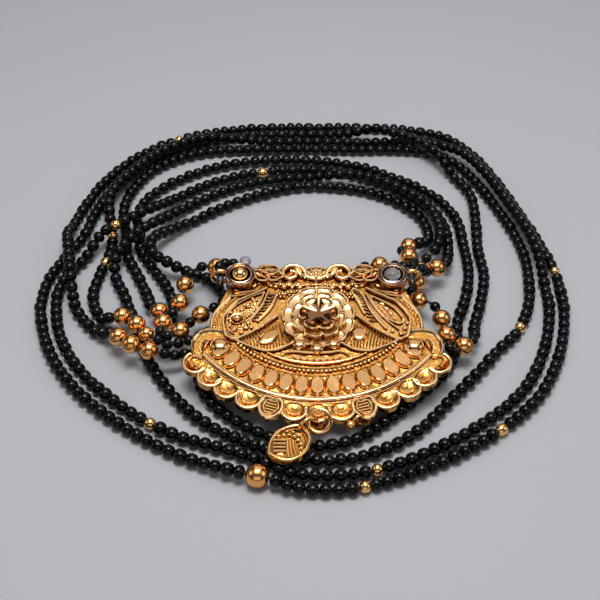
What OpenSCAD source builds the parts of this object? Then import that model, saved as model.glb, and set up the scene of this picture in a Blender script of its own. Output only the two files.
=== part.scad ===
// Mangalsutra: four strings of black glass beads and a worked half-moon pendant,
// lying on a flat surface. Millimetres, centred on X and Y, lowest point at Z = 0.

/* [Strings] */
// Outside diameter of a run of black glass beads
bead_d = 2.5; // [2.3:0.05:2.5]
// Diameter of the bare thread
thread_d = 0.6; // [0.4:0.05:0.7]
// Diameter of a gold ball
ball_d = 3.4; // [3:0.1:3.4]
// Diameter of a small gold ball
small_ball_d = 2.8; // [2.6:0.1:2.9]
// Diameter of the large gold ball on the front
lone_ball_d = 4; // [3.6:0.1:4]
// Bore of every gold ball
bore_d = 1; // [0.9:0.05:1.2]

/* [Pendant plate] */
// Thickness of the plate
plate_t = 1.2; // [1:0.1:1.6]
// Lean of the plate, crown side up, degrees
plate_tilt = 8; // [7:0.5:9]
// Radius of an edge lobe
lobe_r = 2.4; // [2.1:0.1:2.5]
// Height of the rim bar above the plate
rim_h = 0.7; // [0.5:0.1:1]
// Height of the scrolls and arcs above the plate
relief_h = 0.55; // [0.4:0.05:0.8]

/* [Settings and rosette] */
// Width of an oval setting in the row
setting_w = 2; // [1.7:0.1:2.2]
// Length of an oval setting in the row
setting_l = 3.3; // [2.8:0.1:3.5]
// Height of the rosette's middle above the plate
rosette_h = 2; // [1.5:0.1:2.4]
// Radius of the rosette
rosette_r = 6.2; // [5.5:0.1:6.5]

/* [Collar rings] */
// Outer radius of a collar ring
collar_r = 2.75; // [2.6:0.05:3]
// Radius of a collar ring's hole
collar_hole_r = 1.75; // [1.65:0.05:1.9]
// Height of a collar ring above the plate's back
collar_h = 3.6; // [3:0.1:4]
// Diameter of the ball held in the left collar ring
held_ball_d = 3; // [2.7:0.1:3.1]
// Width of the faceted stone held in the right collar ring
held_stone_d = 3; // [2.6:0.1:3.1]

/* [Thread eyes and lugs] */
// Inner radius of a wire eye behind the plate
eye_r = 1.05; // [1:0.05:1.2]
// Wire diameter of an eye
eye_wire_d = 0.9; // [0.8:0.05:1]
// Hole radius of a lug at the lower edge
lug_hole_r = 0.75; // [0.7:0.05:0.85]
// Outer radius of a lug
lug_r = 1.3; // [1.25:0.01:1.35]
// Thickness of a lug
lug_t = 0.6; // [0.5:0.1:0.7]

/* [Jump rings and charm] */
// Middle radius of the small jump ring
ring_a_r = 1.75; // [1.7:0.05:1.8]
// Wire diameter of the small jump ring
ring_a_wire_d = 0.64; // [0.55:0.01:0.68]
// Middle radius of the large jump ring
ring_b_r = 1.93; // [1.85:0.05:2]
// Wire diameter of the large jump ring
ring_b_wire_d = 0.84; // [0.7:0.05:0.9]
// Width of the charm
charm_w = 6.6; // [6:0.1:6.8]
// Length of the charm
charm_l = 7; // [6.6:0.1:7.2]
// Thickness of the charm's plate
charm_t = 0.8; // [0.6:0.1:0.9]
// Diameter of the small ball on its own wire loop
drop_ball_d = 1.7; // [1.5:0.1:1.8]

/* [Hidden] */
// Height of the middle of a run of beads that lies on the surface
low_z = 1.25;
// Step between two rings of a swept string, about
ring_step = 6.4;
// Step where a string is bare thread, about
thread_step = 3;
// Sides of a swept string
sides = 8;
// Place of the pendant's own zero, at the back of the plate
pendant_at = [2.6, -20, 5.3];
// Place of a wire eye's middle in the pendant's own axes
eye_at = [17.6, 12.6, 1.6];
// Place of a collar ring in the pendant's own axes
collar_at = [13.9, 11.7];
// Middle of the circles that the lower edge follows
arc_y = 10;
// Radius of the line of lobes, the rim bar, the settings, and two inner arcs
lobe_line_r = 27;
rim_line_r = 25;
setting_line_r = 22.1;
inner_arc_r = 18.9;
small_arc_r = 17.3;
// Angles of the edge lobes from straight down
lobe_angles = [-51.4, -43, -35, -25.7, -16.9, -8.5, 0, 8.5, 16.9, 25.7, 35, 43, 51.4];
// Places of the two lugs at the lower edge, in the pendant's own axes
lug_a_at = [-0.2, arc_y - lobe_line_r - 2.2];
lug_b_at = [7.7, arc_y - lobe_line_r - 1.4];
// Middle of the lower edge, from which the hanging pieces are placed
edge_at = pendant_at + (arc_y - lobe_line_r) * [0, cos(plate_tilt), sin(plate_tilt)];
// Places of the jump rings, the charm's eye, the small ball and its wire loop
ring_a_at = edge_at + [-1.6, -3.065, 0.466];
ring_b_at = edge_at + [0.25, -2.865, 1.516];
charm_at = edge_at + [-3.23, -3.935, -0.134];
drop_ring_at = edge_at + [6.85, -1.965, 0.566];
drop_at = edge_at + [5.5, -2.765, 0.366];
// Kinds of stretch in a route: beads, ball, thread, small ball, large ball
B = 0; G = 1; T = 2; S = 3; L = 4;
// Right half of the plate's outline, from the crown round to the lower edge
half_outline = [[0, 14.2], [1.6, 15], [3.2, 14.2], [4.8, 15], [6.6, 14.4], [9, 14.6],
    [11.4, 14.4], [15.2, 12.6], [16, 10.2], [17.3, 6.8], [18.3, 3.2], [18.7, 1.2],
    [20.8, 0], [22.2, -2], [21.8, -4.4], [22.2, -6.4], [20.6, -8]];

// Routes of the four strings, one point per row: place, and the kind of stretch that
// starts there. Each runs from the left wire eye round to the right one.
route_1 = [[-15.4, -9.6, 8.98, T], [-15.4, -7.75, 9, T], [-15.2, -4.6, 8.6, T],
    [-12.6, -2.6, 7.2, T], [-9.6, -6, 5, T], [-11.2, -11, 3.4, T], [-17, -20, 3, T],
    [-22, -23.2, 3.6, T], [-25.2, -23.6, 4.6, G], [-28.9, -22.5, 4.6, G],
    [-32, -20.2, 4.4, G], [-34.2, -17.2, 3.2, B], [-38, -14.6, 1.25, B],
    [-42.2, -8.8, 1.25, B], [-43.6, -4, 2.6, B], [-44.3, -0.6, 3.8, B],
    [-45, 3, 3.9, B], [-45.9, 8, 4, B], [-46.5, 11.6, 3.4, B], [-46.3, 15, 1.9, B],
    [-45.3, 21, 1.25, B], [-41.6, 31.5, 1.25, B], [-34.2, 42, 1.25, B],
    [-24, 48.4, 1.25, B], [-12, 51.4, 1.25, B], [0, 51.8, 1.25, B], [12, 51.7, 1.25, B],
    [23, 50.9, 1.25, B], [31.6, 48, 1.25, B], [37.4, 41, 1.25, B], [41.4, 31, 1.25, B],
    [44.6, 20.5, 1.25, B], [47.5, 10, 1.25, B], [49.3, 0, 1.25, B], [49.1, -9, 1.25, B],
    [46.4, -20.5, 1.25, B], [41.2, -31, 1.25, B], [32.8, -39.4, 1.25, B],
    [21.5, -46.6, 1.25, B], [9, -51.3, 1.25, B], [-1, -51.5, 1.5, B], [-5.2, -49.9, 2, L],
    [-9.4, -48.9, 2, B], [-20, -44.6, 1.25, B], [-30.6, -37.8, 1.25, B],
    [-39.6, -29.4, 1.25, B], [-45.6, -20, 1.25, B], [-49, -9, 1.25, B],
    [-49.2, -3, 1.25, B], [-48.2, 2, 1.25, B], [-46, 7.6, 1.25, B], [-43.6, 13.6, 1.25, B],
    [-42.5, 20, 1.25, B], [-39, 30, 1.25, B], [-32.2, 39.8, 1.25, B],
    [-22.8, 45.7, 1.25, B], [-11.6, 48.7, 1.25, B], [0, 49.1, 1.25, B],
    [10, 48.9, 1.6, B], [16, 47.6, 3.9, B], [21, 45.4, 3.9, B], [26, 42, 3.9, B],
    [29.6, 38, 3.1, B], [32.2, 33.6, 1.3, B], [35.2, 27, 1.25, B], [35.4, 18, 1.25, B],
    [34.9, 9, 1.25, B], [35.2, 1, 1.25, B], [33.6, -7, 1.25, B], [31.8, -13.4, 1.25, B],
    [31.2, -17.6, 2.6, T], [30.1, -19.9, 3.6, G], [27.6, -22.6, 4.3, T],
    [26.2, -22.4, 4.6, T], [26.1, -20.8, 4.5, G], [25.6, -17.2, 4.5, T], [25.6, -16.3, 4.4, G],
    [25.2, -12.7, 4.2, T], [23.4, -9.6, 4, G], [19.8, -8.7, 4, G], [16.2, -7.9, 4, T],
    [14.6, -6.4, 4.6, T], [16.2, -4.6, 6.6, T], [18.8, -4.8, 8.6, T],
    [19.8, -7.75, 9, T], [19.8, -9.6, 8.98, T]];
route_2 = [[-14.6, -9.6, 8.98, T], [-14.6, -7.75, 9, T], [-14.4, -5.8, 8.4, T],
    [-12.2, -5.2, 6.8, T], [-10.6, -8, 5, T], [-13, -14, 4.5, T], [-18.5, -18.8, 4, T],
    [-24, -20.8, 3.9, T], [-26.6, -19.4, 4.4, S], [-29.3, -17.9, 4.4, G],
    [-30.7, -14, 4.2, T], [-31.3, -13.3, 4, G], [-34.7, -12.6, 3, B],
    [-37.4, -11, 1.25, B], [-39.6, -5, 1.25, B], [-39, 2, 1.25, B],
    [-37.9, 8, 1.25, B], [-38, 13.5, 1.25, B], [-39.1, 18.6, 2.6, B], [-39.4, 24, 3.5, B],
    [-36.5, 31, 3.5, B], [-30, 39.6, 3.5, B], [-21.6, 44.3, 3.5, B],
    [-14.2, 45.7, 2.4, B], [-7, 46.1, 1.25, B],
    [4, 46.3, 1.25, B], [14, 46, 1.25, B], [22, 46.4, 1.25, B], [28.6, 45.2, 1.4, B],
    [34.6, 39.9, 2.9, B], [39, 31, 3.5, B], [42.2, 21.5, 3.5, B], [44.9, 12.5, 3.6, B],
    [46, 6.5, 3.1, B], [46.4, 2.5, 2.1, B], [46.5, -2, 1.25, B], [46.3, -9, 1.25, B],
    [43.7, -19.5, 1.25, B], [38.8, -29.2, 1.25, B], [31, -37, 1.25, B],
    [20.4, -44, 1.25, B], [9, -48.3, 1.25, B], [-1, -48.4, 1.25, B], [-5.6, -46.2, 1.25, B],
    [-12, -43.4, 1.25, B], [-22, -39.6, 1.25, B], [-31.2, -33.2, 1.25, B],
    [-39.2, -24.9, 1.25, B], [-44.2, -16, 1.25, B], [-46.3, -7, 1.25, B],
    [-46.2, -2, 1.25, B], [-45, 1.8, 1.25, B], [-42.6, 6, 1.25, B], [-41.2, 8.8, 2.4, B],
    [-39.2, 11.4, 3.9, B], [-35.4, 14.8, 3.9, B], [-31.4, 18.4, 3.9, B],
    [-28.4, 22.4, 2.4, B], [-24.6, 26.8, 1.25, B], [-18, 31.6, 1.25, B],
    [-10, 34.6, 1.25, B], [-1, 35.8, 1.25, B], [8, 35, 1.25, B], [16, 31.6, 1.25, B],
    [22.6, 26.6, 1.25, B], [27.6, 20.2, 1.25, B], [29.1, 13.4, 1.25, B],
    [28.6, 6, 1.6, B], [27.7, 2.4, 3.3, T], [27.2, 1, 4.1, G], [24.3, -1.2, 4.3, T], [22.8, -4, 6.8, T],
    [21.6, -5.6, 8.8, T], [20.6, -7.75, 9, T], [20.6, -9.6, 8.98, T]];
route_3 = [[-15.4, -9.6, 8.26, T], [-15.4, -7.75, 8.28, T], [-15.3, -5.6, 7.4, T],
    [-14.6, -2.8, 6.4, G], [-17.8, -1.2, 5.6, T], [-20.2, -1.2, 4.8, T],
    [-21.7, -3.2, 4.2, G], [-22.3, -6.8, 4.1, T], [-22.2, -8, 4.1, G],
    [-22.9, -11.6, 3.9, T], [-25, -12, 3.2, G], [-27.8, -9.8, 2.5, T], [-28.1, -9.2, 2.3, B],
    [-29.3, -5, 1.25, B], [-32, 1.6, 1.25, B],
    [-34.5, 7.4, 1.25, B], [-35.2, 13.4, 1.25, B], [-36.6, 20, 1.25, B],
    [-36, 27, 1.25, B], [-31.4, 36, 1.25, B], [-23, 41.6, 1.25, B],
    [-12, 43.2, 1.25, B], [0, 43.4, 1.25, B], [11, 43.2, 1.25, B], [21, 43.2, 1.25, B],
    [28, 42, 1.25, B], [33.2, 38, 1.25, B], [36.8, 31.6, 1.25, B], [40, 23, 1.25, B],
    [42.6, 14.4, 1.25, B], [43.8, 7, 1.25, B], [43.7, 0, 1.25, B], [42.6, -7.4, 1.25, B],
    [39.6, -14.6, 1.25, B], [35.4, -19.6, 1.25, B], [31.4, -25, 1.25, B],
    [25.4, -32.2, 1.25, B], [20, -38.6, 1.25, B], [12.6, -43.6, 1.25, B],
    [4, -45.6, 1.25, B], [-3.8, -43.9, 1.25, B], [-11.6, -40.4, 1.25, B],
    [-18.4, -35.6, 1.25, B], [-23.6, -29, 1.25, B], [-27.4, -22.4, 1.25, B],
    [-29.8, -16, 1.25, B], [-31.8, -10, 1.25, B], [-34, -4, 1.25, B],
    [-35.8, 0, 1.3, B], [-36.2, 3.6, 3.1, B], [-34.6, 7.8, 3.9, B], [-31.4, 12.6, 3.9, B],
    [-27.4, 18, 2.4, B], [-23, 23.2, 1.25, B], [-15.6, 28.6, 1.25, B],
    [-7, 31.9, 1.25, B], [2, 32.9, 1.4, B], [11, 31.3, 3.2, B], [19, 27.1, 3.6, B],
    [25.4, 20.6, 3.6, B], [27.4, 14, 3.6, B], [27, 8.8, 3.9, B], [25.4, 5.2, 3.4, T],
    [23, 2.9, 2.7, G], [22.3, -0.7, 2.6, G], [21.4, -4.2, 2.5, T], [17.6, -6.2, 3, T],
    [12.4, -6.6, 3.6, T], [10, -4.8, 5, T], [10.8, -2.8, 6.2, T], [12.8, -2.2, 6.5, G],
    [16.4, -2, 6.5, T], [19.2, -4.2, 7.8, T], [19.8, -7.75, 8.28, T],
    [19.8, -9.6, 8.26, T]];
route_4 = [[-14.6, -9.6, 8.26, T], [-14.6, -7.75, 8.28, T], [-14.6, -5.6, 7.4, T],
    [-13.4, -5.6, 5.8, T], [-13.6, -9, 5, T], [-17, -12.6, 4.6, G],
    [-20, -14.6, 4.4, T], [-20.6, -16.6, 4.4, G], [-23.2, -19, 4.4, T],
    [-25.2, -18.6, 4.4, T], [-25.6, -16.9, 4.3, G], [-25, -13.5, 3.7, T],
    [-24.2, -12.6, 1.8, T], [-24, -10.6, 0.7, T], [-24.3, -8.6, 0.8, T], [-24.4, -6.6, 1.25, B],
    [-26, -2, 1.25, B], [-29.2, 3.6, 1.25, B], [-32, 9.2, 1.25, B], [-32.6, 14.4, 1.25, B],
    [-33.7, 20, 1.25, B], [-31.6, 26.4, 1.25, B], [-25, 33, 1.25, B],
    [-16.6, 37.4, 1.25, B], [-7, 39.2, 1.25, B], [3, 39, 1.25, B], [12.6, 36.8, 1.25, B],
    [20.6, 32.2, 1.25, B], [27.8, 26.1, 1.25, B], [31.4, 19, 1.25, B], [32.1, 11, 1.25, B],
    [32.3, 2, 1.25, B], [30.8, -6, 1.25, B], [28.8, -12, 1.25, B], [28, -18, 1.25, B],
    [26, -24, 1.25, B], [20.6, -30.6, 1.25, B], [15, -36.2, 1.25, B],
    [8.6, -41, 1.25, B], [2, -42.4, 1.25, B], [-4.2, -40.8, 1.25, B],
    [-10.4, -37.4, 1.25, B], [-16, -32, 1.25, B], [-18.2, -26, 1.25, B],
    [-16.6, -19, 1.25, B], [-14.4, -12, 1.25, B], [-14.8, -5, 1.25, B],
    [-18.4, 0.4, 1.25, B], [-22, 1.6, 1.6, B], [-26, 2.2, 3.8, B], [-29.2, 5.2, 3.9, B],
    [-29.2, 9.4, 3.9, B], [-26.2, 14, 2.2, B], [-21.4, 18.6, 1.25, B],
    [-15.4, 23.2, 1.25, B], [-8.6, 27, 1.25, B], [-1, 29.6, 1.25, B], [6.6, 29.6, 1.25, B],
    [13.6, 28, 1.25, B], [20, 24.2, 1.25, B], [24.4, 18.8, 1.25, B],
    [25.4, 13.2, 1.25, B], [24.4, 9.8, 2.4, B], [22.2, 7.6, 3.8, G], [19.4, 5.2, 4.4, T],
    [19.6, 2.8, 5.6, G], [21.2, -0.4, 6.2, T], [20.6, -4.6, 7.8, T],
    [20.6, -7.75, 8.28, T], [20.6, -9.6, 8.26, T]];

// Gold balls: name, the string it sits on, the row where its stretch starts, diameter
BALLS = concat([["lone_ball", route_1, 41, lone_ball_d]],
    [for (i = [8, 9, 10, 71, 74, 76, 78, 79]) [str("ball_1_", i), route_1, i, ball_d]],
    [["ball_2_8", route_2, 8, small_ball_d]],
    [for (i = [9, 11, 69]) [str("ball_2_", i), route_2, i, ball_d]],
    [for (i = [3, 6, 8, 10, 63, 64, 70]) [str("ball_3_", i), route_3, i, ball_d]],
    [for (i = [5, 7, 10, 63, 65]) [str("ball_4_", i), route_4, i, ball_d]]);

// Names of the pieces

// Vectors and smooth routes
function xyz(p) = [p[0], p[1], p[2]];
function unit(v) = v / max(norm(v), 0.000001);
function gap(r, i) = norm(xyz(r[i + 1]) - xyz(r[i]));
function straight(k) = k == G || k == S || k == L;
function lead(r, i) = unit(xyz(r[min(i + 1, len(r) - 1)]) - xyz(r[max(i - 1, 0)]));
function mixed(a, b, ta, tb, t) = a * (2 * t * t * t - 3 * t * t + 1)
    + b * (3 * t * t - 2 * t * t * t) + ta * (t * t * t - 2 * t * t + t)
    + tb * (t * t * t - t * t);
function steps(r, i) = straight(r[i][3]) ? 1
    : max(1, round(gap(r, i) / (r[i][3] == T ? thread_step : ring_step)));
// A run of beads never dips below the surface it lies on
function lifted(p, k) = k == B ? [p[0], p[1], max(p[2], low_z)] : p;
// Every place along a route, with the kind of the stretch that starts there
function places(r) = [for (i = [0 : len(r) - 2]) for (k = [0 : steps(r, i) - 1])
        let (g = gap(r, i)) [lifted(mixed(xyz(r[i]), xyz(r[i + 1]), lead(r, i) * g,
            lead(r, i + 1) * g, k / steps(r, i)), r[i][3]), r[i][3]],
    [xyz(r[len(r) - 1]), T]];
function heading(q, i) = unit(unit(q[min(i + 1, len(q) - 1)][0] - q[min(i, len(q) - 2)][0])
    + unit(q[max(i, 1)][0] - q[max(i - 1, 0)][0]));
function width(kind) = kind == B ? bead_d / 2 : thread_d / 2;
// Rings of the sweep: place, direction, radius, doubled where beads meet bare thread
function rings(q) = [for (i = [0 : len(q) - 1]) let (before = width(q[max(i - 1, 0)][1]),
        after = width(q[i][1]), h = heading(q, i))
        each (before == after ? [[q[i][0], h, after]]
            : [[q[i][0], h, before], [q[i][0], h, after]])];
function ring_points(g) = let (side = unit(cross(g[1], [0, 0, 1])), up = cross(side, g[1]))
    [for (k = [0 : sides - 1]) g[0] + g[2] * (cos(360 * k / sides) * side
        + sin(360 * k / sides) * up)];

// One string swept along its route, bare where gold balls sit on it
module strand(route) {
    g = rings(places(route));
    n = len(g);
    polyhedron(points = [for (a = g) each ring_points(a)],
        faces = concat([[for (k = [sides - 1 : -1 : 0]) k]],
            [for (i = [0 : n - 2]) for (k = [0 : sides - 1]) let (m = (k + 1) % sides)
                each [[i * sides + k, (i + 1) * sides + m, (i + 1) * sides + k],
                    [i * sides + k, i * sides + m, (i + 1) * sides + m]]],
            [[for (k = [0 : sides - 1]) (n - 1) * sides + k]]));
}
// Turns the Z axis to a direction
module aim(v) {
    rotate([0, acos(unit(v)[2]), atan2(v[1], v[0])]) children();
}
// A drilled ball on the stretch that starts at row i of a route
module ball_on(route, i, d) {
    a = xyz(route[i]);
    b = xyz(route[i + 1]);
    translate((a + b) / 2) aim(b - a) difference() {
        sphere(d = d);
        cylinder(d = bore_d, h = d + 1, center = true);
    }
}

// Pendant, drawn in its own axes: X across, Y up to the crown, Z out of its face
module in_pendant() { translate(pendant_at) rotate([plate_tilt, 0, 0]) children(); }
function turned(r, a) = [r * sin(a), arc_y - r * cos(a)];
// A low bar that follows a circle about the arcs' middle, between two angles
module arc_bar(r, w, a, low, high) {
    n = max(4, round(a / 4));
    translate([0, 0, low]) linear_extrude(high - low) polygon(concat(
        [for (i = [0 : n]) turned(r - w / 2, -a + 2 * a * i / n)],
        [for (i = [n : -1 : 0]) turned(r + w / 2, -a + 2 * a * i / n)]));
}
// A smooth oval setting that stands on the plate
module setting(at, w, l, h, turn) {
    translate([at[0], at[1], plate_t - 0.3]) rotate(turn) scale([w / 2, l / 2, h + 0.3])
        difference() {
            sphere(r = 1, $fn = 10);
            translate([0, 0, -1]) cube([3, 3, 2], center = true);
        }
}
// A low wall round a ring of a given radius
module ring_wall(at, r, w, high, n = 14) {
    translate([at[0], at[1], 0.2]) linear_extrude(high - 0.2) difference() {
        circle(r = r, $fn = n);
        circle(r = r - w, $fn = n);
    }
}
// A raised leaf between two points with a given width
module leaf(a, b, w, high) {
    d = unit([b[0] - a[0], b[1] - a[1], 0]);
    m = [(a[0] + b[0]) / 2, (a[1] + b[1]) / 2];
    q = [-d[1], d[0]];
    hull() {
        translate([0, 0, 0.3]) linear_extrude(0.1) polygon([a, m + q * w / 2, b, m - q * w / 2]);
        translate([m[0], m[1], high]) cylinder(r = w / 5, h = 0.1, $fn = 6);
    }
}
module plate_outline() {
    polygon(concat(half_outline,
        [for (a = [48, 40, 32, 24, 16, 8, 0, -8, -16, -24, -32, -40, -48])
            turned(lobe_line_r - 0.6, a)],
        [for (i = [len(half_outline) - 1 : -1 : 1]) [-half_outline[i][0], half_outline[i][1]]]));
}
module lug(at) {
    translate([at[0], at[1], 0.1]) linear_extrude(lug_t) hull() {
        circle(r = lug_r, $fn = 14);
        translate([0, 2.6]) circle(r = lug_r * 0.8, $fn = 8);
    }
}
// A wire eye whose hole runs along Y, with a short stem to the plate
module eye(side) {
    translate([side * eye_at[0], eye_at[1], eye_at[2]]) rotate([90, 0, 0])
        rotate_extrude($fn = 12) translate([eye_r + eye_wire_d / 2, 0])
            circle(d = eye_wire_d, $fn = 6);
    hull() {
        translate([side * 15.2, 11, 0.6]) sphere(d = 1, $fn = 6);
        translate([side * (eye_at[0] - 1.25), eye_at[1] - 0.4, 0.9]) sphere(d = 0.8, $fn = 6);
    }
}
module half_relief() {
    // Shoulder scroll, side ear, and the wall round the crown's scroll
    ring_wall([13.2, 7.4], 2.1, 0.6, plate_t + relief_h);
    ring_wall([19.7, -3.4], 2.3, 0.7, plate_t + relief_h);
    setting([19.7, -3.4], 2, 2, 0.6, 0);
    ring_wall([16.6, 4.2], 1.5, 0.5, plate_t + relief_h);
    ring_wall([17, 0.4], 1.5, 0.5, plate_t + relief_h);
    ring_wall([4.2, 12.2], 1.9, 0.6, plate_t + relief_h);
    ring_wall([8.4, 12.2], 1.9, 0.6, plate_t + relief_h);
    // Upper paisley and the lower leaf
    leaf([9.1, 9.4], [13.6, -0.8], 4.6, plate_t + 1);
    leaf([7.2, 8.2], [15.2, 1.2], 4, plate_t + 0.8);
    leaf([14.4, -1.8], [4.6, -4.6], 3.8, plate_t + 0.8);
    setting([8, -2.2], 2.5, 2, 0.8, 0);
}
module rosette() {
    translate([0, 2.2, plate_t]) for (a = [0 : 45 : 315]) rotate(a) hull() {
        translate([rosette_r - 1.2, 0, 0.1]) sphere(r = 1.2, $fn = 8);
        translate([1.6, 0, rosette_h - 0.8]) sphere(r = 0.9, $fn = 6);
    }
    translate([0, 2.2, 0.5])
        cylinder(r1 = 3.2, r2 = 1.8, h = plate_t + rosette_h - 0.4, $fn = 12);
}
module collar(side) {
    translate([side * collar_at[0], collar_at[1], 0])
        cylinder(r = collar_r, h = collar_h, $fn = 28);
}
module pendant() {
    color([0.85, 0.58, 0.18]) in_pendant() union() {
        difference() {
            union() {
                linear_extrude(plate_t) plate_outline();
                for (a = lobe_angles) let (c = turned(lobe_line_r, a))
                    translate([c[0], c[1], 0])
                        cylinder(r1 = lobe_r, r2 = lobe_r * 0.75, h = plate_t + 0.4, $fn = 12);
                lug(lug_a_at);
                lug(lug_b_at);
                arc_bar(rim_line_r, 1.1, 51, 0.3, plate_t + rim_h);
                arc_bar(inner_arc_r, 0.8, 48, 0.3, plate_t + relief_h);
                arc_bar(small_arc_r, 0.7, 30, 0.3, plate_t + relief_h);
                for (i = [-7 : 7]) setting(turned(setting_line_r, 7 * i), setting_w,
                    setting_l, 0.7, 7 * i);
                half_relief();
                mirror([1, 0, 0]) half_relief();
                rosette();
                setting([-3.1, -3.4], 2.4, 2.4, 0.9, 0);
                setting([0, -4.4], 2.4, 2.4, 0.9, 0);
                setting([2.9, -3.3], 2.4, 2.4, 0.9, 0);
                ring_wall([0, 12.4], 2.2, 0.7, plate_t + relief_h + 0.2);
                collar(-1);
                collar(1);
            }
            for (s = [-1, 1]) translate([s * collar_at[0], collar_at[1], -1])
                cylinder(r = collar_hole_r, h = collar_h + 3, $fn = 28);
            for (at = [lug_a_at, lug_b_at]) translate([at[0], at[1], -1])
                cylinder(r = lug_hole_r, h = 4, $fn = 14);
        }
        for (s = [-1, 1]) eye(s);
    }
}

// Small pieces that hang on the pendant or stand in its rings
module ring_ball() {
    color([0.9, 0.65, 0.25]) in_pendant()
        translate([-collar_at[0], collar_at[1], collar_h - 0.6]) sphere(d = held_ball_d);
}
module ring_stone() {
    color([0.8, 0.84, 0.88]) in_pendant()
        translate([collar_at[0], collar_at[1], collar_h - 1.4]) {
            cylinder(r1 = held_stone_d / 4, r2 = held_stone_d / 2, h = 1.1, $fn = 8);
            translate([0, 0, 1.1])
                cylinder(r1 = held_stone_d / 2, r2 = held_stone_d / 3.4, h = 0.8, $fn = 8);
        }
}
module crystal() {
    color([0.7, 0.66, 0.78]) translate([-10.6, -4.2, 8.7]) rotate([20, 0, 15]) {
        cylinder(r1 = 0.5, r2 = 1.1, h = 0.8, $fn = 8);
        translate([0, 0, 0.8]) cylinder(r1 = 1.1, r2 = 0.65, h = 0.6, $fn = 8);
    }
}
module wire_ring(r, d) {
    rotate_extrude() translate([r, 0]) circle(d = d);
}
module jump_ring_a() {
    color([0.88, 0.62, 0.2]) translate(ring_a_at) rotate([0, 90, -63])
        wire_ring(ring_a_r, ring_a_wire_d);
}
module jump_ring_b() {
    color([0.88, 0.62, 0.2]) translate(ring_b_at) rotate([36, -10, 0])
        wire_ring(ring_b_r, ring_b_wire_d);
}
module charm_oval(r) { scale([charm_w / charm_l, 1]) circle(r = r, $fn = 32); }
module charm() {
    mid = -charm_l / 2 - 0.5;
    color([0.88, 0.62, 0.2]) translate(charm_at) rotate([0, 0, -25]) difference() {
        union() {
            linear_extrude(charm_t) {
                translate([0, mid]) charm_oval(charm_l / 2);
                circle(r = 1.3, $fn = 20);
            }
            translate([0, mid, charm_t - 0.1]) linear_extrude(0.5) difference() {
                charm_oval(charm_l / 2);
                charm_oval(charm_l / 2 - 0.6);
            }
            for (i = [0 : 2]) translate([-2.5, mid - 0.7 + i * 0.8, charm_t - 0.1])
                cube([2.6, 0.4, 0.4]);
            for (v = [[-1.5, 2], [-0.5, 2.1], [0.6, 2], [1.5, 1.5]])
                translate([v[0], mid + v[1], charm_t - 0.1]) cylinder(r = 0.4, h = 0.45);
            for (i = [0 : 2]) translate([0.5 + i * 0.6, mid - 1.9 + i * 0.4, charm_t - 0.1])
                rotate(-8 + i * 10) cube([0.35, 2.6, 0.4]);
        }
        translate([0, 0, -1]) cylinder(r = lug_hole_r, h = 4, $fn = 20);
    }
}
module drop_ball() {
    color([0.88, 0.62, 0.2]) union() {
        translate(drop_at) sphere(d = drop_ball_d, $fn = 12);
        translate(drop_ring_at) rotate([0, 90, -58])
            rotate_extrude($fn = 12) translate([1.2, 0]) circle(d = 0.5, $fn = 6);
    }
}
module gold_ball(b) {
    color([0.9, 0.65, 0.25]) ball_on(b[1], b[2], b[3]);
}
module black_string(r) {
    color([0.06, 0.06, 0.07]) strand(r);
}

pendant();
black_string(route_1);  // strand_1
black_string(route_2);  // strand_2
black_string(route_3);  // strand_3
black_string(route_4);  // strand_4
ring_ball();
ring_stone();
crystal();
jump_ring_a();
jump_ring_b();
charm();
drop_ball();
for (b = BALLS) gold_ball(b);
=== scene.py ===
"""Looks of a mangalsutra: four strings of black glass beads and a worked gold pendant."""
import math
from itertools import groupby

import bmesh
import bpy
import numpy as np
from mathutils import Matrix, Vector
from mathutils.bvhtree import BVHTree
from mathutils.geometry import delaunay_2d_cdt


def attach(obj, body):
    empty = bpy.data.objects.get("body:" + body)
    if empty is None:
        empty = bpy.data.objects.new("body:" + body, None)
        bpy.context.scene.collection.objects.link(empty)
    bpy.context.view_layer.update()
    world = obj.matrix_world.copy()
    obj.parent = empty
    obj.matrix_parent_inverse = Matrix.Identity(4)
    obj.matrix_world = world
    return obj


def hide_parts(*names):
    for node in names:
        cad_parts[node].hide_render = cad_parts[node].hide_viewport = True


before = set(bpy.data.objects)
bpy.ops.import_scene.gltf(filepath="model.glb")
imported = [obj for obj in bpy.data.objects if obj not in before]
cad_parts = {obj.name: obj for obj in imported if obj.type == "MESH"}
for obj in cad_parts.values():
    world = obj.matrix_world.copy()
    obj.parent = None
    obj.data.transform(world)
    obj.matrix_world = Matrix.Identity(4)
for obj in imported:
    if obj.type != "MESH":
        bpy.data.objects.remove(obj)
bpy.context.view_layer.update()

MM = 0.001
SEED = 11
rng = np.random.default_rng(SEED)


def added(name, data):
    """A new object in the scene."""
    thing = bpy.data.objects.new(name, data)
    bpy.context.scene.collection.objects.link(thing)
    return thing


# ---------------- camera
camera = added("camera", bpy.data.cameras.new("camera"))
bpy.context.scene.camera = camera
camera.location = (-0.000375, -0.17586, 0.15417)
camera.rotation_euler = (math.radians(48.005), 0.0, 0.0)
camera.data.lens = 72.54
camera.data.sensor_width = 36.0
camera.data.clip_start = 0.005
camera.data.clip_end = 10.0

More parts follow.
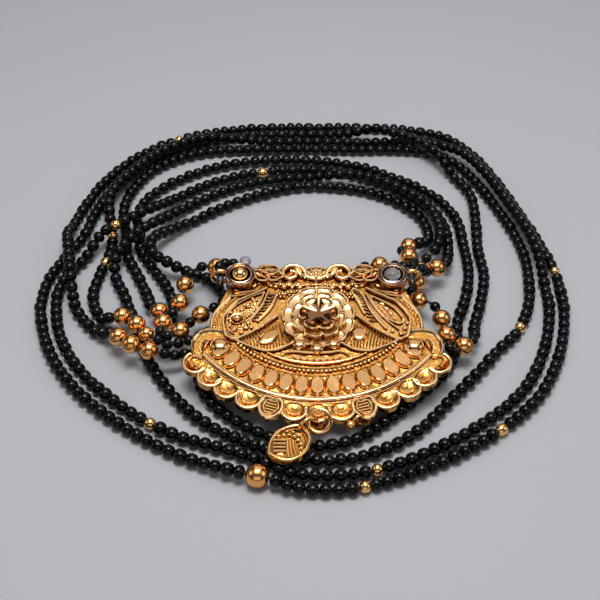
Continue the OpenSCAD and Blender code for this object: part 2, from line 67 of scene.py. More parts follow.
# ---------------- routes
# The strings' points in millimetres: x, y, a height, and the kind of the stretch that starts there,
# which is B beads, G ball, T thread, S small ball or L large ball. A row without a kind is B, and a
# row of two numbers lies at LOW_Z, on the surface.
ROUTE_1 = """
-15.4 -9.6 8.98 T, -15.4 -7.75 9 T, -15.2 -4.6 8.6 T, -12.6 -2.6 7.2 T, -9.6 -6 5 T,
-11.2 -11 3.4 T, -17 -20 3 T, -22 -23.2 3.6 T, -25.2 -23.6 4.6 G, -28.9 -22.5 4.6 G,
-32 -20.2 4.4 G, -34.2 -17.2 3.2, -38 -14.6, -42.2 -8.8, -43.6 -4 2.6, -44.3 -0.6 3.8, -45 3 3.9,
-45.9 8 4, -46.5 11.6 3.4, -46.3 15 1.9, -45.3 21, -41.6 31.5, -34.2 42, -24 48.4, -12 51.4,
0 51.8, 12 51.7, 23 50.9, 31.6 48, 37.4 41, 41.4 31, 44.6 20.5, 47.5 10, 49.3 0, 49.1 -9,
46.4 -20.5, 41.2 -31, 32.8 -39.4, 21.5 -46.6, 9 -51.3, -1 -51.5 1.5, -5.2 -49.9 2 L, -9.4 -48.9 2,
-20 -44.6, -30.6 -37.8, -39.6 -29.4, -45.6 -20, -49 -9, -49.2 -3, -48.2 2, -46 7.6, -43.6 13.6,
-42.5 20, -39 30, -32.2 39.8, -22.8 45.7, -11.6 48.7, 0 49.1, 10 48.9 1.6, 16 47.6 3.9,
21 45.4 3.9, 26 42 3.9, 29.6 38 3.1, 32.2 33.6 1.3, 35.2 27, 35.4 18, 34.9 9, 35.2 1, 33.6 -7,
31.8 -13.4, 31.2 -17.6 2.6 T, 30.1 -19.9 3.6 G, 27.6 -22.6 4.3 T, 26.2 -22.4 4.6 T,
26.1 -20.8 4.5 G, 25.6 -17.2 4.5 T, 25.6 -16.3 4.4 G, 25.2 -12.7 4.2 T, 23.4 -9.6 4 G,
19.8 -8.7 4 G, 16.2 -7.9 4 T, 14.6 -6.4 4.6 T, 16.2 -4.6 6.6 T, 18.8 -4.8 8.6 T, 19.8 -7.75 9 T,
19.8 -9.6 8.98 T
"""
ROUTE_2 = """
-14.6 -9.6 8.98 T, -14.6 -7.75 9 T, -14.4 -5.8 8.4 T, -12.2 -5.2 6.8 T, -10.6 -8 5 T,
-13 -14 4.5 T, -18.5 -18.8 4 T, -24 -20.8 3.9 T, -26.6 -19.4 4.4 S, -29.3 -17.9 4.4 G,
-30.7 -14 4.2 T, -31.3 -13.3 4 G, -34.7 -12.6 3, -37.4 -11, -39.6 -5, -39 2, -37.9 8, -38 13.5,
-39.1 18.6 2.6, -39.4 24 3.5, -36.5 31 3.5, -30 39.6 3.5, -21.6 44.3 3.5, -14.2 45.7 2.4, -7 46.1,
4 46.3, 14 46, 22 46.4, 28.6 45.2 1.4, 34.6 39.9 2.9, 39 31 3.5, 42.2 21.5 3.5, 44.9 12.5 3.6,
46 6.5 3.1, 46.4 2.5 2.1, 46.5 -2, 46.3 -9, 43.7 -19.5, 38.8 -29.2, 31 -37, 20.4 -44, 9 -48.3,
-1 -48.4, -5.6 -46.2, -12 -43.4, -22 -39.6, -31.2 -33.2, -39.2 -24.9, -44.2 -16, -46.3 -7,
-46.2 -2, -45 1.8, -42.6 6, -41.2 8.8 2.4, -39.2 11.4 3.9, -35.4 14.8 3.9, -31.4 18.4 3.9,
-28.4 22.4 2.4, -24.6 26.8, -18 31.6, -10 34.6, -1 35.8, 8 35, 16 31.6, 22.6 26.6, 27.6 20.2,
29.1 13.4, 28.6 6 1.6, 27.7 2.4 3.3 T, 27.2 1 4.1 G, 24.3 -1.2 4.3 T, 22.8 -4 6.8 T,
21.6 -5.6 8.8 T, 20.6 -7.75 9 T, 20.6 -9.6 8.98 T
"""
ROUTE_3 = """
-15.4 -9.6 8.26 T, -15.4 -7.75 8.28 T, -15.3 -5.6 7.4 T, -14.6 -2.8 6.4 G, -17.8 -1.2 5.6 T,
-20.2 -1.2 4.8 T, -21.7 -3.2 4.2 G, -22.3 -6.8 4.1 T, -22.2 -8 4.1 G, -22.9 -11.6 3.9 T,
-25 -12 3.2 G, -27.8 -9.8 2.5 T, -28.1 -9.2 2.3, -29.3 -5, -32 1.6, -34.5 7.4, -35.2 13.4,
-36.6 20, -36 27, -31.4 36, -23 41.6, -12 43.2, 0 43.4, 11 43.2, 21 43.2, 28 42, 33.2 38,
36.8 31.6, 40 23, 42.6 14.4, 43.8 7, 43.7 0, 42.6 -7.4, 39.6 -14.6, 35.4 -19.6, 31.4 -25,
25.4 -32.2, 20 -38.6, 12.6 -43.6, 4 -45.6, -3.8 -43.9, -11.6 -40.4, -18.4 -35.6, -23.6 -29,
-27.4 -22.4, -29.8 -16, -31.8 -10, -34 -4, -35.8 0 1.3, -36.2 3.6 3.1, -34.6 7.8 3.9,
-31.4 12.6 3.9, -27.4 18 2.4, -23 23.2, -15.6 28.6, -7 31.9, 2 32.9 1.4, 11 31.3 3.2, 19 27.1 3.6,
25.4 20.6 3.6, 27.4 14 3.6, 27 8.8 3.9, 25.4 5.2 3.4 T, 23 2.9 2.7 G, 22.3 -0.7 2.6 G,
21.4 -4.2 2.5 T, 17.6 -6.2 3 T, 12.4 -6.6 3.6 T, 10 -4.8 5 T, 10.8 -2.8 6.2 T, 12.8 -2.2 6.5 G,
16.4 -2 6.5 T, 19.2 -4.2 7.8 T, 19.8 -7.75 8.28 T, 19.8 -9.6 8.26 T
"""
ROUTE_4 = """
-14.6 -9.6 8.26 T, -14.6 -7.75 8.28 T, -14.6 -5.6 7.4 T, -13.4 -5.6 5.8 T, -13.6 -9 5 T,
-17 -12.6 4.6 G, -20 -14.6 4.4 T, -20.6 -16.6 4.4 G, -23.2 -19 4.4 T, -25.2 -18.6 4.4 T,
-25.6 -16.9 4.3 G, -25 -13.5 3.7 T, -24.2 -12.6 1.8 T, -24 -10.6 0.7 T, -24.3 -8.6 0.8 T,
-24.4 -6.6, -26 -2, -29.2 3.6, -32 9.2, -32.6 14.4, -33.7 20, -31.6 26.4, -25 33, -16.6 37.4,
-7 39.2, 3 39, 12.6 36.8, 20.6 32.2, 27.8 26.1, 31.4 19, 32.1 11, 32.3 2, 30.8 -6, 28.8 -12,
28 -18, 26 -24, 20.6 -30.6, 15 -36.2, 8.6 -41, 2 -42.4, -4.2 -40.8, -10.4 -37.4, -16 -32,
-18.2 -26, -16.6 -19, -14.4 -12, -14.8 -5, -18.4 0.4, -22 1.6 1.6, -26 2.2 3.8, -29.2 5.2 3.9,
-29.2 9.4 3.9, -26.2 14 2.2, -21.4 18.6, -15.4 23.2, -8.6 27, -1 29.6, 6.6 29.6, 13.6 28, 20 24.2,
24.4 18.8, 25.4 13.2, 24.4 9.8 2.4, 22.2 7.6 3.8 G, 19.4 5.2 4.4 T, 19.6 2.8 5.6 G,
21.2 -0.4 6.2 T, 20.6 -4.6 7.8 T, 20.6 -7.75 8.28 T, 20.6 -9.6 8.26 T
"""
LOW_Z = 1.25


def read_route(text):
    rows = [row.split() for row in text.split(",")]
    rows = [row + [LOW_Z, "B"][len(row) - 2:] for row in rows]
    return np.array([[float(v) for v in row[:3]] for row in rows]), [row[3] for row in rows]


ROUTES = [read_route(text) for text in (ROUTE_1, ROUTE_2, ROUTE_3, ROUTE_4)]


def unit(v):
    v = np.asarray(v, float)
    return v / max(np.linalg.norm(v), 1e-9)


def lead(points, i):
    return unit(points[min(i + 1, len(points) - 1)] - points[max(i - 1, 0)])


def stretch(points, kinds, i, step):
    """Close points along the stretch that starts at row i: straight in a ball, else a curve."""
    a, b = points[i], points[i + 1]
    gap = np.linalg.norm(b - a)
    t = np.linspace(0, 1, max(2, int(gap / step)) + 1)[:, None]
    if kinds[i] in "GSL":
        return a + (b - a) * t
    ta, tb = lead(points, i) * gap, lead(points, i + 1) * gap
    p = (a * (2 * t**3 - 3 * t * t + 1) + b * (3 * t * t - 2 * t**3)
         + ta * (t**3 - 2 * t * t + t) + tb * (t**3 - t * t))
    if kinds[i] == "B":
        p[:, 2] = np.maximum(p[:, 2], LOW_Z)
    return p


def joined(points, kinds, rows, step=0.12):
    """One line of close points along neighbouring stretches."""
    parts = [stretch(points, kinds, i, step) for i in rows]
    return np.concatenate([parts[0]] + [part[1:] for part in parts[1:]])


def runs(points, kinds, kind):
    """Lines of close points, one for each unbroken run of one kind of stretch."""
    groups = groupby(range(len(points) - 1), lambda i: kinds[i])
    return [joined(points, kinds, rows) for found, rows in groups if found == kind]


def by_length(path, places, reach=0.25):
    """Points and directions at the given lengths along a path."""
    s = np.concatenate([[0], np.cumsum(np.linalg.norm(np.diff(path, axis=0), axis=1))])
    at, ahead, back = [np.stack([np.interp(places + d, s, path[:, k]) for k in range(3)], 1)
                       for d in (0, reach, -reach)]
    way = ahead - back
    return at, way / np.linalg.norm(way, axis=1)[:, None]


def path_length(path):
    return float(np.linalg.norm(np.diff(path, axis=0), axis=1).sum())


# ---------------- mesh making
class Shape:
    """Collects points in millimetres and faces, then becomes one object."""

    def __init__(self):
        self.points, self.faces, self.tones, self.count = [], [], [], 0

    def add(self, points, faces, tone=0.0):
        points = np.asarray(points, float).reshape(-1, 3)
        base = self.count
        self.points.append(points)
        self.tones.append(np.full(len(points), tone))
        self.faces.extend([tuple(base + i for i in face) for face in faces])
        self.count += len(points)

    def object(self, name, material, slot, place=None, sharp=38.0, nodes=()):
        points = np.concatenate(self.points)
        # Heights before placing, kept as the rise attribute; the relief golds paint shade low and
        # brighter tops by it.
        rise = points[:, 2].copy()
        if place is not None:
            points = place(points)
        mesh = bpy.data.meshes.new(name)
        mesh.from_pydata((points * MM).tolist(), [], self.faces)
        mesh.update()
        work = bmesh.new()
        work.from_mesh(mesh)
        bmesh.ops.recalc_face_normals(work, faces=work.faces)
        work.to_mesh(mesh)
        work.free()
        for label, values in (("tone", np.concatenate(self.tones)), ("rise", rise)):
            layer = mesh.attributes.new(label, "FLOAT", "POINT")
            layer.data.foreach_set("value", values.astype(np.float32))
        if sharp is None:
            mesh.shade_flat()
        else:
            mesh.shade_smooth()
            mesh.set_sharp_from_angle(angle=math.radians(sharp))
        mesh.materials.append(material)
        thing = added(name, mesh)
        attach(thing, "root")
        if nodes:
            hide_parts(*nodes)


def grid(n, m, wrap_n=False, wrap_m=False):
    faces = []
    for i in range(n if wrap_n else n - 1):
        for j in range(m if wrap_m else m - 1):
            a, b = i * m + j, ((i + 1) % n) * m + j
            c, d = ((i + 1) % n) * m + (j + 1) % m, i * m + (j + 1) % m
            faces.append((a, b, c, d))
    return faces


def spline(points, step=0.3, closed=False):
    p = np.asarray(points, float)
    if closed:
        q = np.vstack([p[-1], p, p[0], p[1]])
    else:
        q = np.vstack([2 * p[0] - p[1], p, 2 * p[-1] - p[-2]])
    out = []
    for i in range(1, len(q) - 2):
        a, b, c, d = q[i - 1:i + 3]
        n = max(1, int(np.linalg.norm(c - b) / step))
        for k in range(n):
            t = k / n
            out.append(0.5 * (2 * b + (c - a) * t + (2 * a - 5 * b + 4 * c - d) * t * t
                              + (3 * b - a - 3 * c + d) * t**3))
    if not closed:
        out.append(q[-2])
    return np.array(out)


def ways(path, closed):
    """Unit directions along a path."""
    way = np.roll(path, -1, 0) - np.roll(path, 1, 0) if closed else np.gradient(path, axis=0)
    return way / np.maximum(np.linalg.norm(way, axis=1), 1e-9)[:, None]


def frames(path, closed):
    """A side and an up for each point of a path, which turn as little as they can."""
    way = ways(path, closed)
    up = np.array([0.0, 0, 1])
    if abs(way[0] @ up) > 0.9:
        up = np.array([0.0, 1, 0]) if abs(way[0][1]) < 0.7 else np.array([1.0, 0, 0])
    ups = []
    for w in way:
        up = unit(up - w * (up @ w))
        ups.append(up)
    return np.cross(way, ups), np.array(ups)


def spread(values, n):
    """A row of values stretched out to n of them."""
    return np.interp(np.linspace(0, 1, n), np.linspace(0, 1, len(values)), values)


def tube(shape, path, radius, sides=8, closed=False):
    """A round tube along a path, of one radius or of one for each point."""
    path = np.asarray(path, float)
    n = len(path)
    side, up = frames(path, closed)
    r = np.broadcast_to(np.asarray(radius, float), (n,))[:, None, None]
    a = ((np.arange(sides) + 0.5) * 2 * math.pi / sides)[None, :, None]
    faces = grid(n, sides, closed, True)
    if not closed:
        faces += [tuple(range(sides))[::-1], tuple((n - 1) * sides + k for k in range(sides))]
    shape.add(path[:, None] + (side[:, None] * np.cos(a) + up[:, None] * np.sin(a)) * r, faces)


def wire(shape, points, h, r, closed=False, taper=0.0, sides=8):
    """A round wire along a smooth line at a height, thinned towards its ends by taper."""
    path = spline(points, closed=closed)
    n = len(path)
    radius = r * (1 - taper * np.abs(2 * np.linspace(0, 1, n) - 1) ** 2)
    tube(shape, np.column_stack([path, spread(np.atleast_1d(h), n)]), radius, sides, closed)


def sweep(shape, points, section, scale=(1.0, 1.0)):
    """A closed section of (offset, height) pairs swept along a smooth line."""
    path = spline(points, 0.35)
    n, m = len(path), len(section)
    way = ways(path, False)
    side = np.column_stack([-way[:, 1], way[:, 0]])
    offset, height = np.asarray(section, float).T
    flat = path[:, None] + side[:, None] * (offset * spread(scale, n)[:, None])[:, :, None]
    z = np.broadcast_to(height, (n, m))[:, :, None]
    ends = [tuple(range(m)), tuple((n - 1) * m + k for k in range(m))[::-1]]
    shape.add(np.concatenate([flat, z], 2), grid(n, m, False, True) + ends)


def ovals(a, b, shares, n):
    """The x and y of n points on each of several ovals, drawn in by their shares."""
    ang = np.arange(n) * 2 * math.pi / n
    return a * np.outer(shares, np.cos(ang)), b * np.outer(shares, np.sin(ang))


def placed(at, x, y, z, turn=0.0):
    """Points turned about the vertical and moved to a place."""
    c, s = math.cos(math.radians(turn)), math.sin(math.radians(turn))
    return np.stack([at[0] + x * c - y * s, at[1] + x * s + y * c,
                     np.broadcast_to(z, x.shape)], 2).reshape(-1, 3)


def heap(shape, at, x, y, z, top, turn=0.0):
    """Adds rings of points that end in one point in the middle, closed below."""
    rings, n = x.shape
    last = (rings - 1) * n
    faces = grid(rings, n, False, True)
    faces += [(last + k, last + (k + 1) % n, rings * n) for k in range(n)]
    faces.append(tuple(range(n))[::-1])
    shape.add(np.vstack([placed(at, x, y, z, turn), [at[0], at[1], top]]), faces)


def domed(a, b, low, high, power, rings, n):
    """The x, y and height of rings on a mound, flatter on top as its power grows."""
    f = np.cos(np.linspace(0, 1, rings + 1)[:-1] * math.pi / 2)
    return *ovals(a, b, f, n), (low + (high - low) * (1 - f**power) ** (1 / power))[:, None]


def dome(shape, at, a, b, low, high, power, rings=8, n=32):
    heap(shape, at, *domed(a, b, low, high, power, rings, n), high)


def cabochon(shape, at, turn, lean, a=1.27, b=2.02, low=1.0, high=2.34, ground_off=0.4, n=36,
             rings=14):
    """A seed-shaped setting: a full mound whose outer end is ground to a flat oval face."""
    x, y, z = domed(a, b, low, high, 2.6, rings, n)
    face = high - ground_off
    heap(shape, at, x, y, np.minimum(z, face + 0.035 * y + lean * x), face, turn)


def bowl(shape, at, a, b, low, high, floor, rim=0.25, n=28):
    """A shallow dish: outer wall, rounded lip, and a hollow that falls to its floor."""
    f, z = np.array([
        (1.0, low), (1.0, high - 0.12), (1 - rim * 0.3, high), (1 - rim * 0.7, high - 0.03),
        (1 - rim, high - 0.18), (0.62 - rim * 0.3, (high + 2 * floor) / 3), (0.3, floor)]).T
    heap(shape, at, *ovals(a, b, f, n), z[:, None], floor)


def granule(shape, at, r, h, n=10, rings=6, stretch_by=1.0, turn=0.0):
    """A round grain, or a long one where stretch_by is over 1."""
    t = np.linspace(-math.pi / 2, math.pi / 2, rings + 1)[1:-1]
    x, y = ovals(r * stretch_by, r, np.cos(t), n)
    points = placed(at, x, y, (h + r * np.sin(t))[:, None], turn)
    k = len(t)
    faces = grid(k, n, False, True)
    faces += [((i + 1) % n, i, k * n) for i in range(n)]
    faces += [((k - 1) * n + i, (k - 1) * n + (i + 1) % n, k * n + 1) for i in range(n)]
    shape.add(np.vstack([points, [at[0], at[1], h - r], [at[0], at[1], h + r]]), faces)


def petal(shape, at, turn, length, width, base, tip, cup=0.3, bulge=0.0, low=0.6, n=11, m=9):
    """A petal or leaf from its root outwards: cupped with a raised rim, or bulging."""
    t, q = np.linspace(0, 1, n)[:, None], np.linspace(-1, 1, m)
    half = width / 2 * np.maximum(np.sin(math.pi * (0.04 + 0.92 * t) ** 1.5), 0.03) ** 0.6
    edge = np.maximum(np.abs(q)[None, :] ** 2.2, np.abs(2 * t - 1) ** 5)
    z = base + (tip - base) * t + cup * edge - cup * 0.35 + bulge * (1 - edge)
    top = placed(at, np.broadcast_to(length * t, (n, m)), half * q, z, turn)
    rim = ([j for j in range(m)] + [i * m + m - 1 for i in range(1, n)]
           + [(n - 1) * m + j for j in range(m - 2, -1, -1)] + [i * m for i in range(n - 2, 0, -1)])
    skirt = top[rim].copy()
    skirt[:, 2] = low
    k = len(rim)
    faces = grid(n, m)
    faces += [(rim[i], rim[(i + 1) % k], n * m + (i + 1) % k, n * m + i) for i in range(k)]
    faces.append(tuple(n * m + i for i in range(k)))
    shape.add(np.vstack([top, skirt]), faces)


def mound(shape, outline, low, edge, middle, power=2.0, rings=5, step=0.35):
    """A raised field on any outline: straight wall, then a crown towards its middle."""
    path = spline(outline, step, True)
    mid = path.mean(0)
    f = np.array([1.0] + [1 - k / rings for k in range(rings)])
    z = edge + (middle - edge) * (1 - f**power)
    z[0] = low
    x, y = [np.outer(f, path[:, k] - mid[k]) for k in (0, 1)]
    heap(shape, mid, x, y, z[:, None], middle)


def inside(point, loop):
    x, y = point
    hit = False
    for (ax, ay), (bx, by) in zip(loop, loop[1:] + loop[:1]):
        if (ay > y) != (by > y) and x < (bx - ax) * (y - ay) / (by - ay) + ax:
            hit = not hit
    return hit


def slab(shape, loops, low, high, grain=None):
    """A plate with holes through it; grain gives its face inner points and their heights."""
    def solid(p):
        return inside(p, loops[0]) and not any(inside(p, loop) for loop in loops[1:])

    flat = [p for loop in loops for p in loop]
    edges, start = [], 0
    for loop in loops:
        k = len(loop)
        edges += [(start + i, start + (i + 1) % k) for i in range(k)]
        start += k
    if grain:
        (u0, v0), (u1, v1) = np.min(loops[0], 0), np.max(loops[0], 0)
        for u in np.arange(u0, u1, grain[0]):
            for v in np.arange(v0, v1, grain[0]):
                p = (u + rng.uniform(-0.15, 0.15), v + rng.uniform(-0.15, 0.15))
                if solid(p) and min(math.dist(p, q) for q in flat) > 0.3:
                    flat.append(p)
    made = delaunay_2d_cdt([Vector(p) for p in flat], edges, [], 0, 1e-5)
    spots = [tuple(p) for p in made[0]]
    keep = [tuple(t) for t in made[2]
            if solid((sum(spots[i][0] for i in t) / 3, sum(spots[i][1] for i in t) / 3))]
    links = dict.fromkeys(e for t in keep for e in zip(t, t[1:] + t[:1]))
    border = [(a, b) for a, b in links if (b, a) not in links]
    rim = {i for e in border for i in e}
    n = len(spots)
    points = [(x, y, low) for x, y in spots]
    points += [(x, y, high if i in rim or not grain else high + grain[1](x, y))
               for i, (x, y) in enumerate(spots)]
    faces = [t[::-1] for t in keep] + [tuple(n + i for i in t) for t in keep]
    shape.add(points, faces + [(a, b, n + b, n + a) for a, b in border])


def revolve(shape, profile, n=48, at=(0, 0, 0), close=True):
    """A profile of (radius, height) pairs turned about a vertical axis."""
    ang = np.arange(n) * 2 * math.pi / n
    r, z = np.asarray(profile, float).T
    points = np.stack([np.outer(np.cos(ang), r), np.outer(np.sin(ang), r),
                       np.broadcast_to(z, (n, len(z)))], 2)
    shape.add(points + at, grid(n, len(r), True, close))


def polar(at, r, degrees):
    """The place at a distance and an angle from another one."""
    a = math.radians(degrees)
    return (at[0] + r * math.cos(a), at[1] + r * math.sin(a))


def circle(at, r, n=40, start=0.0, end=360.0):
    return [polar(at, r, a) for a in np.linspace(start, end, n, endpoint=end - start < 360)]


def basis(way):
    """A turn that takes X to a direction."""
    way = unit(way)
    up = np.array([0.0, 0, 1]) if abs(way[2]) < 0.9 else np.array([0.0, 1, 0])
    side = unit(np.cross(up, way))
    return np.column_stack([way, side, np.cross(way, side)])


def rotation(axis, degrees):
    return np.array(Matrix.Rotation(math.radians(degrees), 3, axis))


def xy(text):
    """Rows of numbers from a text such as "1 2.5, 3 4"."""
    return [tuple(float(v) for v in row.split()) for row in text.split(",")]


def mirrored(side, points):
    """Points as they are for side 1, and with left and right exchanged for side -1."""
    return [(side * u, v) for u, v in points]


def wires(shape, rows, side=1, **how):
    """Wires from rows of height, radius and a text of points."""
    for h, r, text in rows:
        wire(shape, mirrored(side, xy(text)), h, r, **how)


def grains(shape, text, h, n=12, rings=7):
    """Granules from a text of places and radii."""
    for u, v, r in xy(text):
        granule(shape, (u, v), r, h, n, rings)


# ---------------- materials
class Nodes:
    """A short way to write a node tree."""

    def __init__(self, name):
        self.material = bpy.data.materials.new(name)
        self.material.use_nodes = True
        self.tree = self.material.node_tree
        self.tree.nodes.clear()
        out = self.tree.nodes.new("ShaderNodeOutputMaterial")
        self.shader = self.tree.nodes.new("ShaderNodeBsdfPrincipled")
        self.tree.links.new(self.shader.outputs[0], out.inputs[0])
        self.place = self.tree.nodes.new("ShaderNodeTexCoord").outputs["Object"]

    def feed(self, socket, value):
        """Joins another socket to this one, or sets its value or colour."""
        if hasattr(value, "links"):
            self.tree.links.new(value, socket)
        else:
            socket.default_value = (*value, 1) if isinstance(value, tuple) else value

    def set(self, **values):
        for key, value in values.items():
            self.feed(self.shader.inputs[key.replace("_", " ")], value)

    def node(self, kind, out, inputs, **settings):
        """One output of a new node, whose inputs are joined or set."""
        node = self.tree.nodes.new("ShaderNode" + kind)
        for key, value in settings.items():
            setattr(node, key, value)
        for key, value in inputs.items():
            self.feed(node.inputs[key], value)
        return node.outputs[out]

    def noise(self, scale, detail):
        inputs = {"Vector": self.place, "Scale": scale, "Detail": detail}
        return self.node("TexNoise", "Fac", inputs)

    def value(self, name):
        return self.node("Attribute", "Fac", {}, attribute_name=name)

    def span(self, source, low, high, to_low, to_high):
        return self.node("MapRange", "Result", {
            "Value": source, "From Min": low, "From Max": high,
            "To Min": to_low, "To Max": to_high})

    def patchy(self, scale, detail, low, high):
        """A value that wanders between two others."""
        return self.span(self.noise(scale, detail), 0.3, 0.7, low, high)

    def ramp(self, source, *stops):
        node = self.tree.nodes.new("ShaderNodeValToRGB")
        ramp = node.color_ramp
        while len(ramp.elements) < len(stops):
            ramp.elements.new(0.5)
        for element, (at, colour) in zip(ramp.elements, stops):
            element.position = at
            element.color = (*colour, 1)
        self.feed(node.inputs["Fac"], source)
        return node.outputs["Color"]

    def mixed(self, factor, a, b):
        return self.node("Mix", 2, {0: factor, 6: a, 7: b}, data_type="RGBA")

    def plus(self, a, b):
        return self.node("Math", 0, {0: a, 1: b}, operation="ADD", use_clamp=True)

    def hollow(self, distance):
        """How far into a recess a place is, from the shape alone: 0 in a corner, 1 in the open; the
        relief golds paint shade by it.
        """
        return self.node("AmbientOcclusion", "AO", {"Distance": distance}, samples=6)

    def bump(self, source, distance, strength, **under):
        return self.node("Bump", "Normal", {
            "Height": source, "Distance": distance, "Strength": strength, **under})


def relief_gold(name, painted_shade_colour, mid, top, grain, foot=1.15, crest=1.8):
    """Cast gold with painted light: brighter tops (wear and painted highlight), recesses painted
    orange-brown as shade, a grained ground.
    """
    m = Nodes(name)
    # Painted light by height, with a random patchiness: low places get the painted shade colour,
    # high places the painted-bright top colour.
    painted_light_level = m.plus(m.span(m.value("rise"), foot, crest, 0.16, 1.0), m.patchy(420, 4, -0.14, 0.14))
    # Painted shade: ambient occlusion darkens corners and recesses towards the shade colour.
    painted_shade_mask = m.span(m.hollow(0.0010), 0.32, 0.85, 0.0, 1.0)
    small = m.bump(m.noise(5200, 2), 0.00002 * grain, 0.5)
    m.set(Metallic=1.0, Roughness=m.patchy(900, 3, 0.13, 0.24),
          Base_Color=m.mixed(painted_shade_mask, painted_shade_colour, m.ramp(painted_light_level, (0.0, painted_shade_colour), (0.42, mid), (1.0, top))),
          Normal=m.bump(m.noise(1500, 3), 0.00007 * grain, 0.5, Normal=small))
    return m.material


def polished_gold(name, colour_a, colour_b, low, high, dents=0.35):
    """Smooth gold of two close colours, between two roughnesses."""
    m = Nodes(name)
    m.set(Metallic=1.0, Roughness=m.patchy(1500, 4, low, high),
          Base_Color=m.mixed(m.noise(260, 3), colour_a, colour_b),
          Normal=m.bump(m.noise(330, 2), 0.00006, dents))
    return m.material


def black_glass():
    m = Nodes("black_glass")
    tone = m.value("tone")
    fine = m.bump(m.noise(3800, 2), 0.000012, 0.5)
    m.set(IOR=1.5, Specular_IOR_Level=0.28,
          Base_Color=m.mixed(tone, (0.0006, 0.0006, 0.0007), (0.002, 0.002, 0.0023)),
          Roughness=m.plus(m.span(tone, 0, 1, 0.03, 0.10),
                           m.span(m.noise(900, 3), 0.4, 0.75, 0.0, 0.06)),
          Normal=m.bump(m.noise(750, 2), 0.00009, 0.55, Normal=fine))
    return m.material


def dark_thread():
    m = Nodes("dark_thread")
    m.set(Roughness=m.patchy(4000, 2, 0.55, 0.8), Sheen_Weight=0.2, Sheen_Roughness=0.5,
          Base_Color=m.mixed(m.noise(2500, 2), (0.006, 0.006, 0.007), (0.022, 0.021, 0.021)),
          Normal=m.bump(m.noise(5000, 2), 0.00004, 0.8))
    return m.material


def cut_stone(name, tint, dark, clear):
    m = Nodes(name)
    m.set(IOR=1.76, Transmission_Weight=clear, Specular_IOR_Level=0.7,
          Base_Color=m.mixed(m.noise(700, 3), tint, dark), Roughness=m.patchy(3000, 2, 0.01, 0.05))
    return m.material


# Each relief gold: its first colour is the painted shade of recesses and low places, its last the
# painted-bright tops, partly wear and partly painted highlight.
gold_cast = relief_gold("gold_cast", (0.31, 0.085, 0.011), (0.90, 0.45, 0.12), (1.0, 0.63, 0.30),
                        1.0)
gold_ground = relief_gold("gold_ground", (0.26, 0.075, 0.010), (0.82, 0.39, 0.085),
                          (0.97, 0.55, 0.19), 2.4, 1.0, 1.5)
gold_edge = relief_gold("gold_edge", (0.42, 0.165, 0.026), (0.93, 0.50, 0.14), (1.0, 0.66, 0.33),
                        0.8, 0.65, 1.4)
gold_bright = polished_gold("gold_bright", (0.98, 0.54, 0.18), (1.0, 0.62, 0.27), 0.12, 0.2)
gold_face = polished_gold("gold_face", (0.64, 0.34, 0.12), (0.88, 0.51, 0.23), 0.12, 0.2, 0.2)
# The star's gold is painted dark brown: a painted dark reflection in place of the dark surroundings
# its polished face mirrors.
gold_painted_dark = polished_gold("gold_painted_dark", (0.24, 0.11, 0.055), (0.40, 0.21, 0.11), 0.06, 0.12)
gold_ball_skin = polished_gold("gold_ball_skin", (0.93, 0.43, 0.13), (1.0, 0.50, 0.18), 0.15, 0.23)
gold_rose = relief_gold("gold_rose", (0.12, 0.05, 0.025), (0.52, 0.34, 0.24), (0.76, 0.58, 0.47),
                        0.7, 2.4, 3.5)
black_beads = black_glass()
thread_skin = dark_thread()
stone_clear = cut_stone("stone_clear", (0.50, 0.49, 0.49), (0.22, 0.20, 0.20), 0.6)
stone_violet = cut_stone("stone_violet", (0.6, 0.56, 0.68), (0.42, 0.38, 0.5), 0.6)

# ---------------- beads and threads
BEAD_PITCH = 2.13
BEAD_SIDES = 14
# The first half of a bead's profile, from its bore to its belly: places along the string, radii
BEAD_HALF = [(-0.62, 0.34), (-0.92, 0.36), (-0.985, 0.45), (-0.93, 0.60), (-0.80, 0.84),
             (-0.55, 1.075), (-0.2, 1.205)]
BEAD_PROFILE = np.array(BEAD_HALF + mirrored(-1, BEAD_HALF[::-1]))
END_R = 0.6  # up to this radius a bead keeps its own bore and ends, whatever its girth


def threaded(shape, profile, centre, way, n, tone=0.0):
    """Adds a profile of (along, radius) pairs turned about a string's direction."""
    along, r = np.asarray(profile).T[:, :, None]
    a = np.arange(n) * 2 * math.pi / n
    local = np.stack([np.broadcast_to(along, (len(r), n)), r * np.cos(a), r * np.sin(a)], 2)
    shape.add(local @ basis(way).T + centre, grid(len(r), n, False, True), tone)


def bead(shape, at, way, half, girth, tone=0.0):
    """One seed bead: a rounded ring of glass with a bore along its string."""
    along, r = BEAD_PROFILE.T
    r = np.where(r > END_R, r * girth, r)
    threaded(shape, np.column_stack([along * half, r]), at, way, BEAD_SIDES, tone)


BALL_ROWS = {1: [8, 9, 10, 71, 74, 76, 78, 79], 2: [8, 9, 11, 69], 3: [3, 6, 8, 10, 63, 64, 70],
             4: [5, 7, 10, 63, 65]}
BALLS = [(number, row) for number, rows in BALL_ROWS.items() for row in rows]
BALL_D, SMALL_BALL_D, LONE_BALL_D = 3.4, 2.8, 4.0
SMALL_BALL, LONE_BALL = (2, 8), (1, 41)
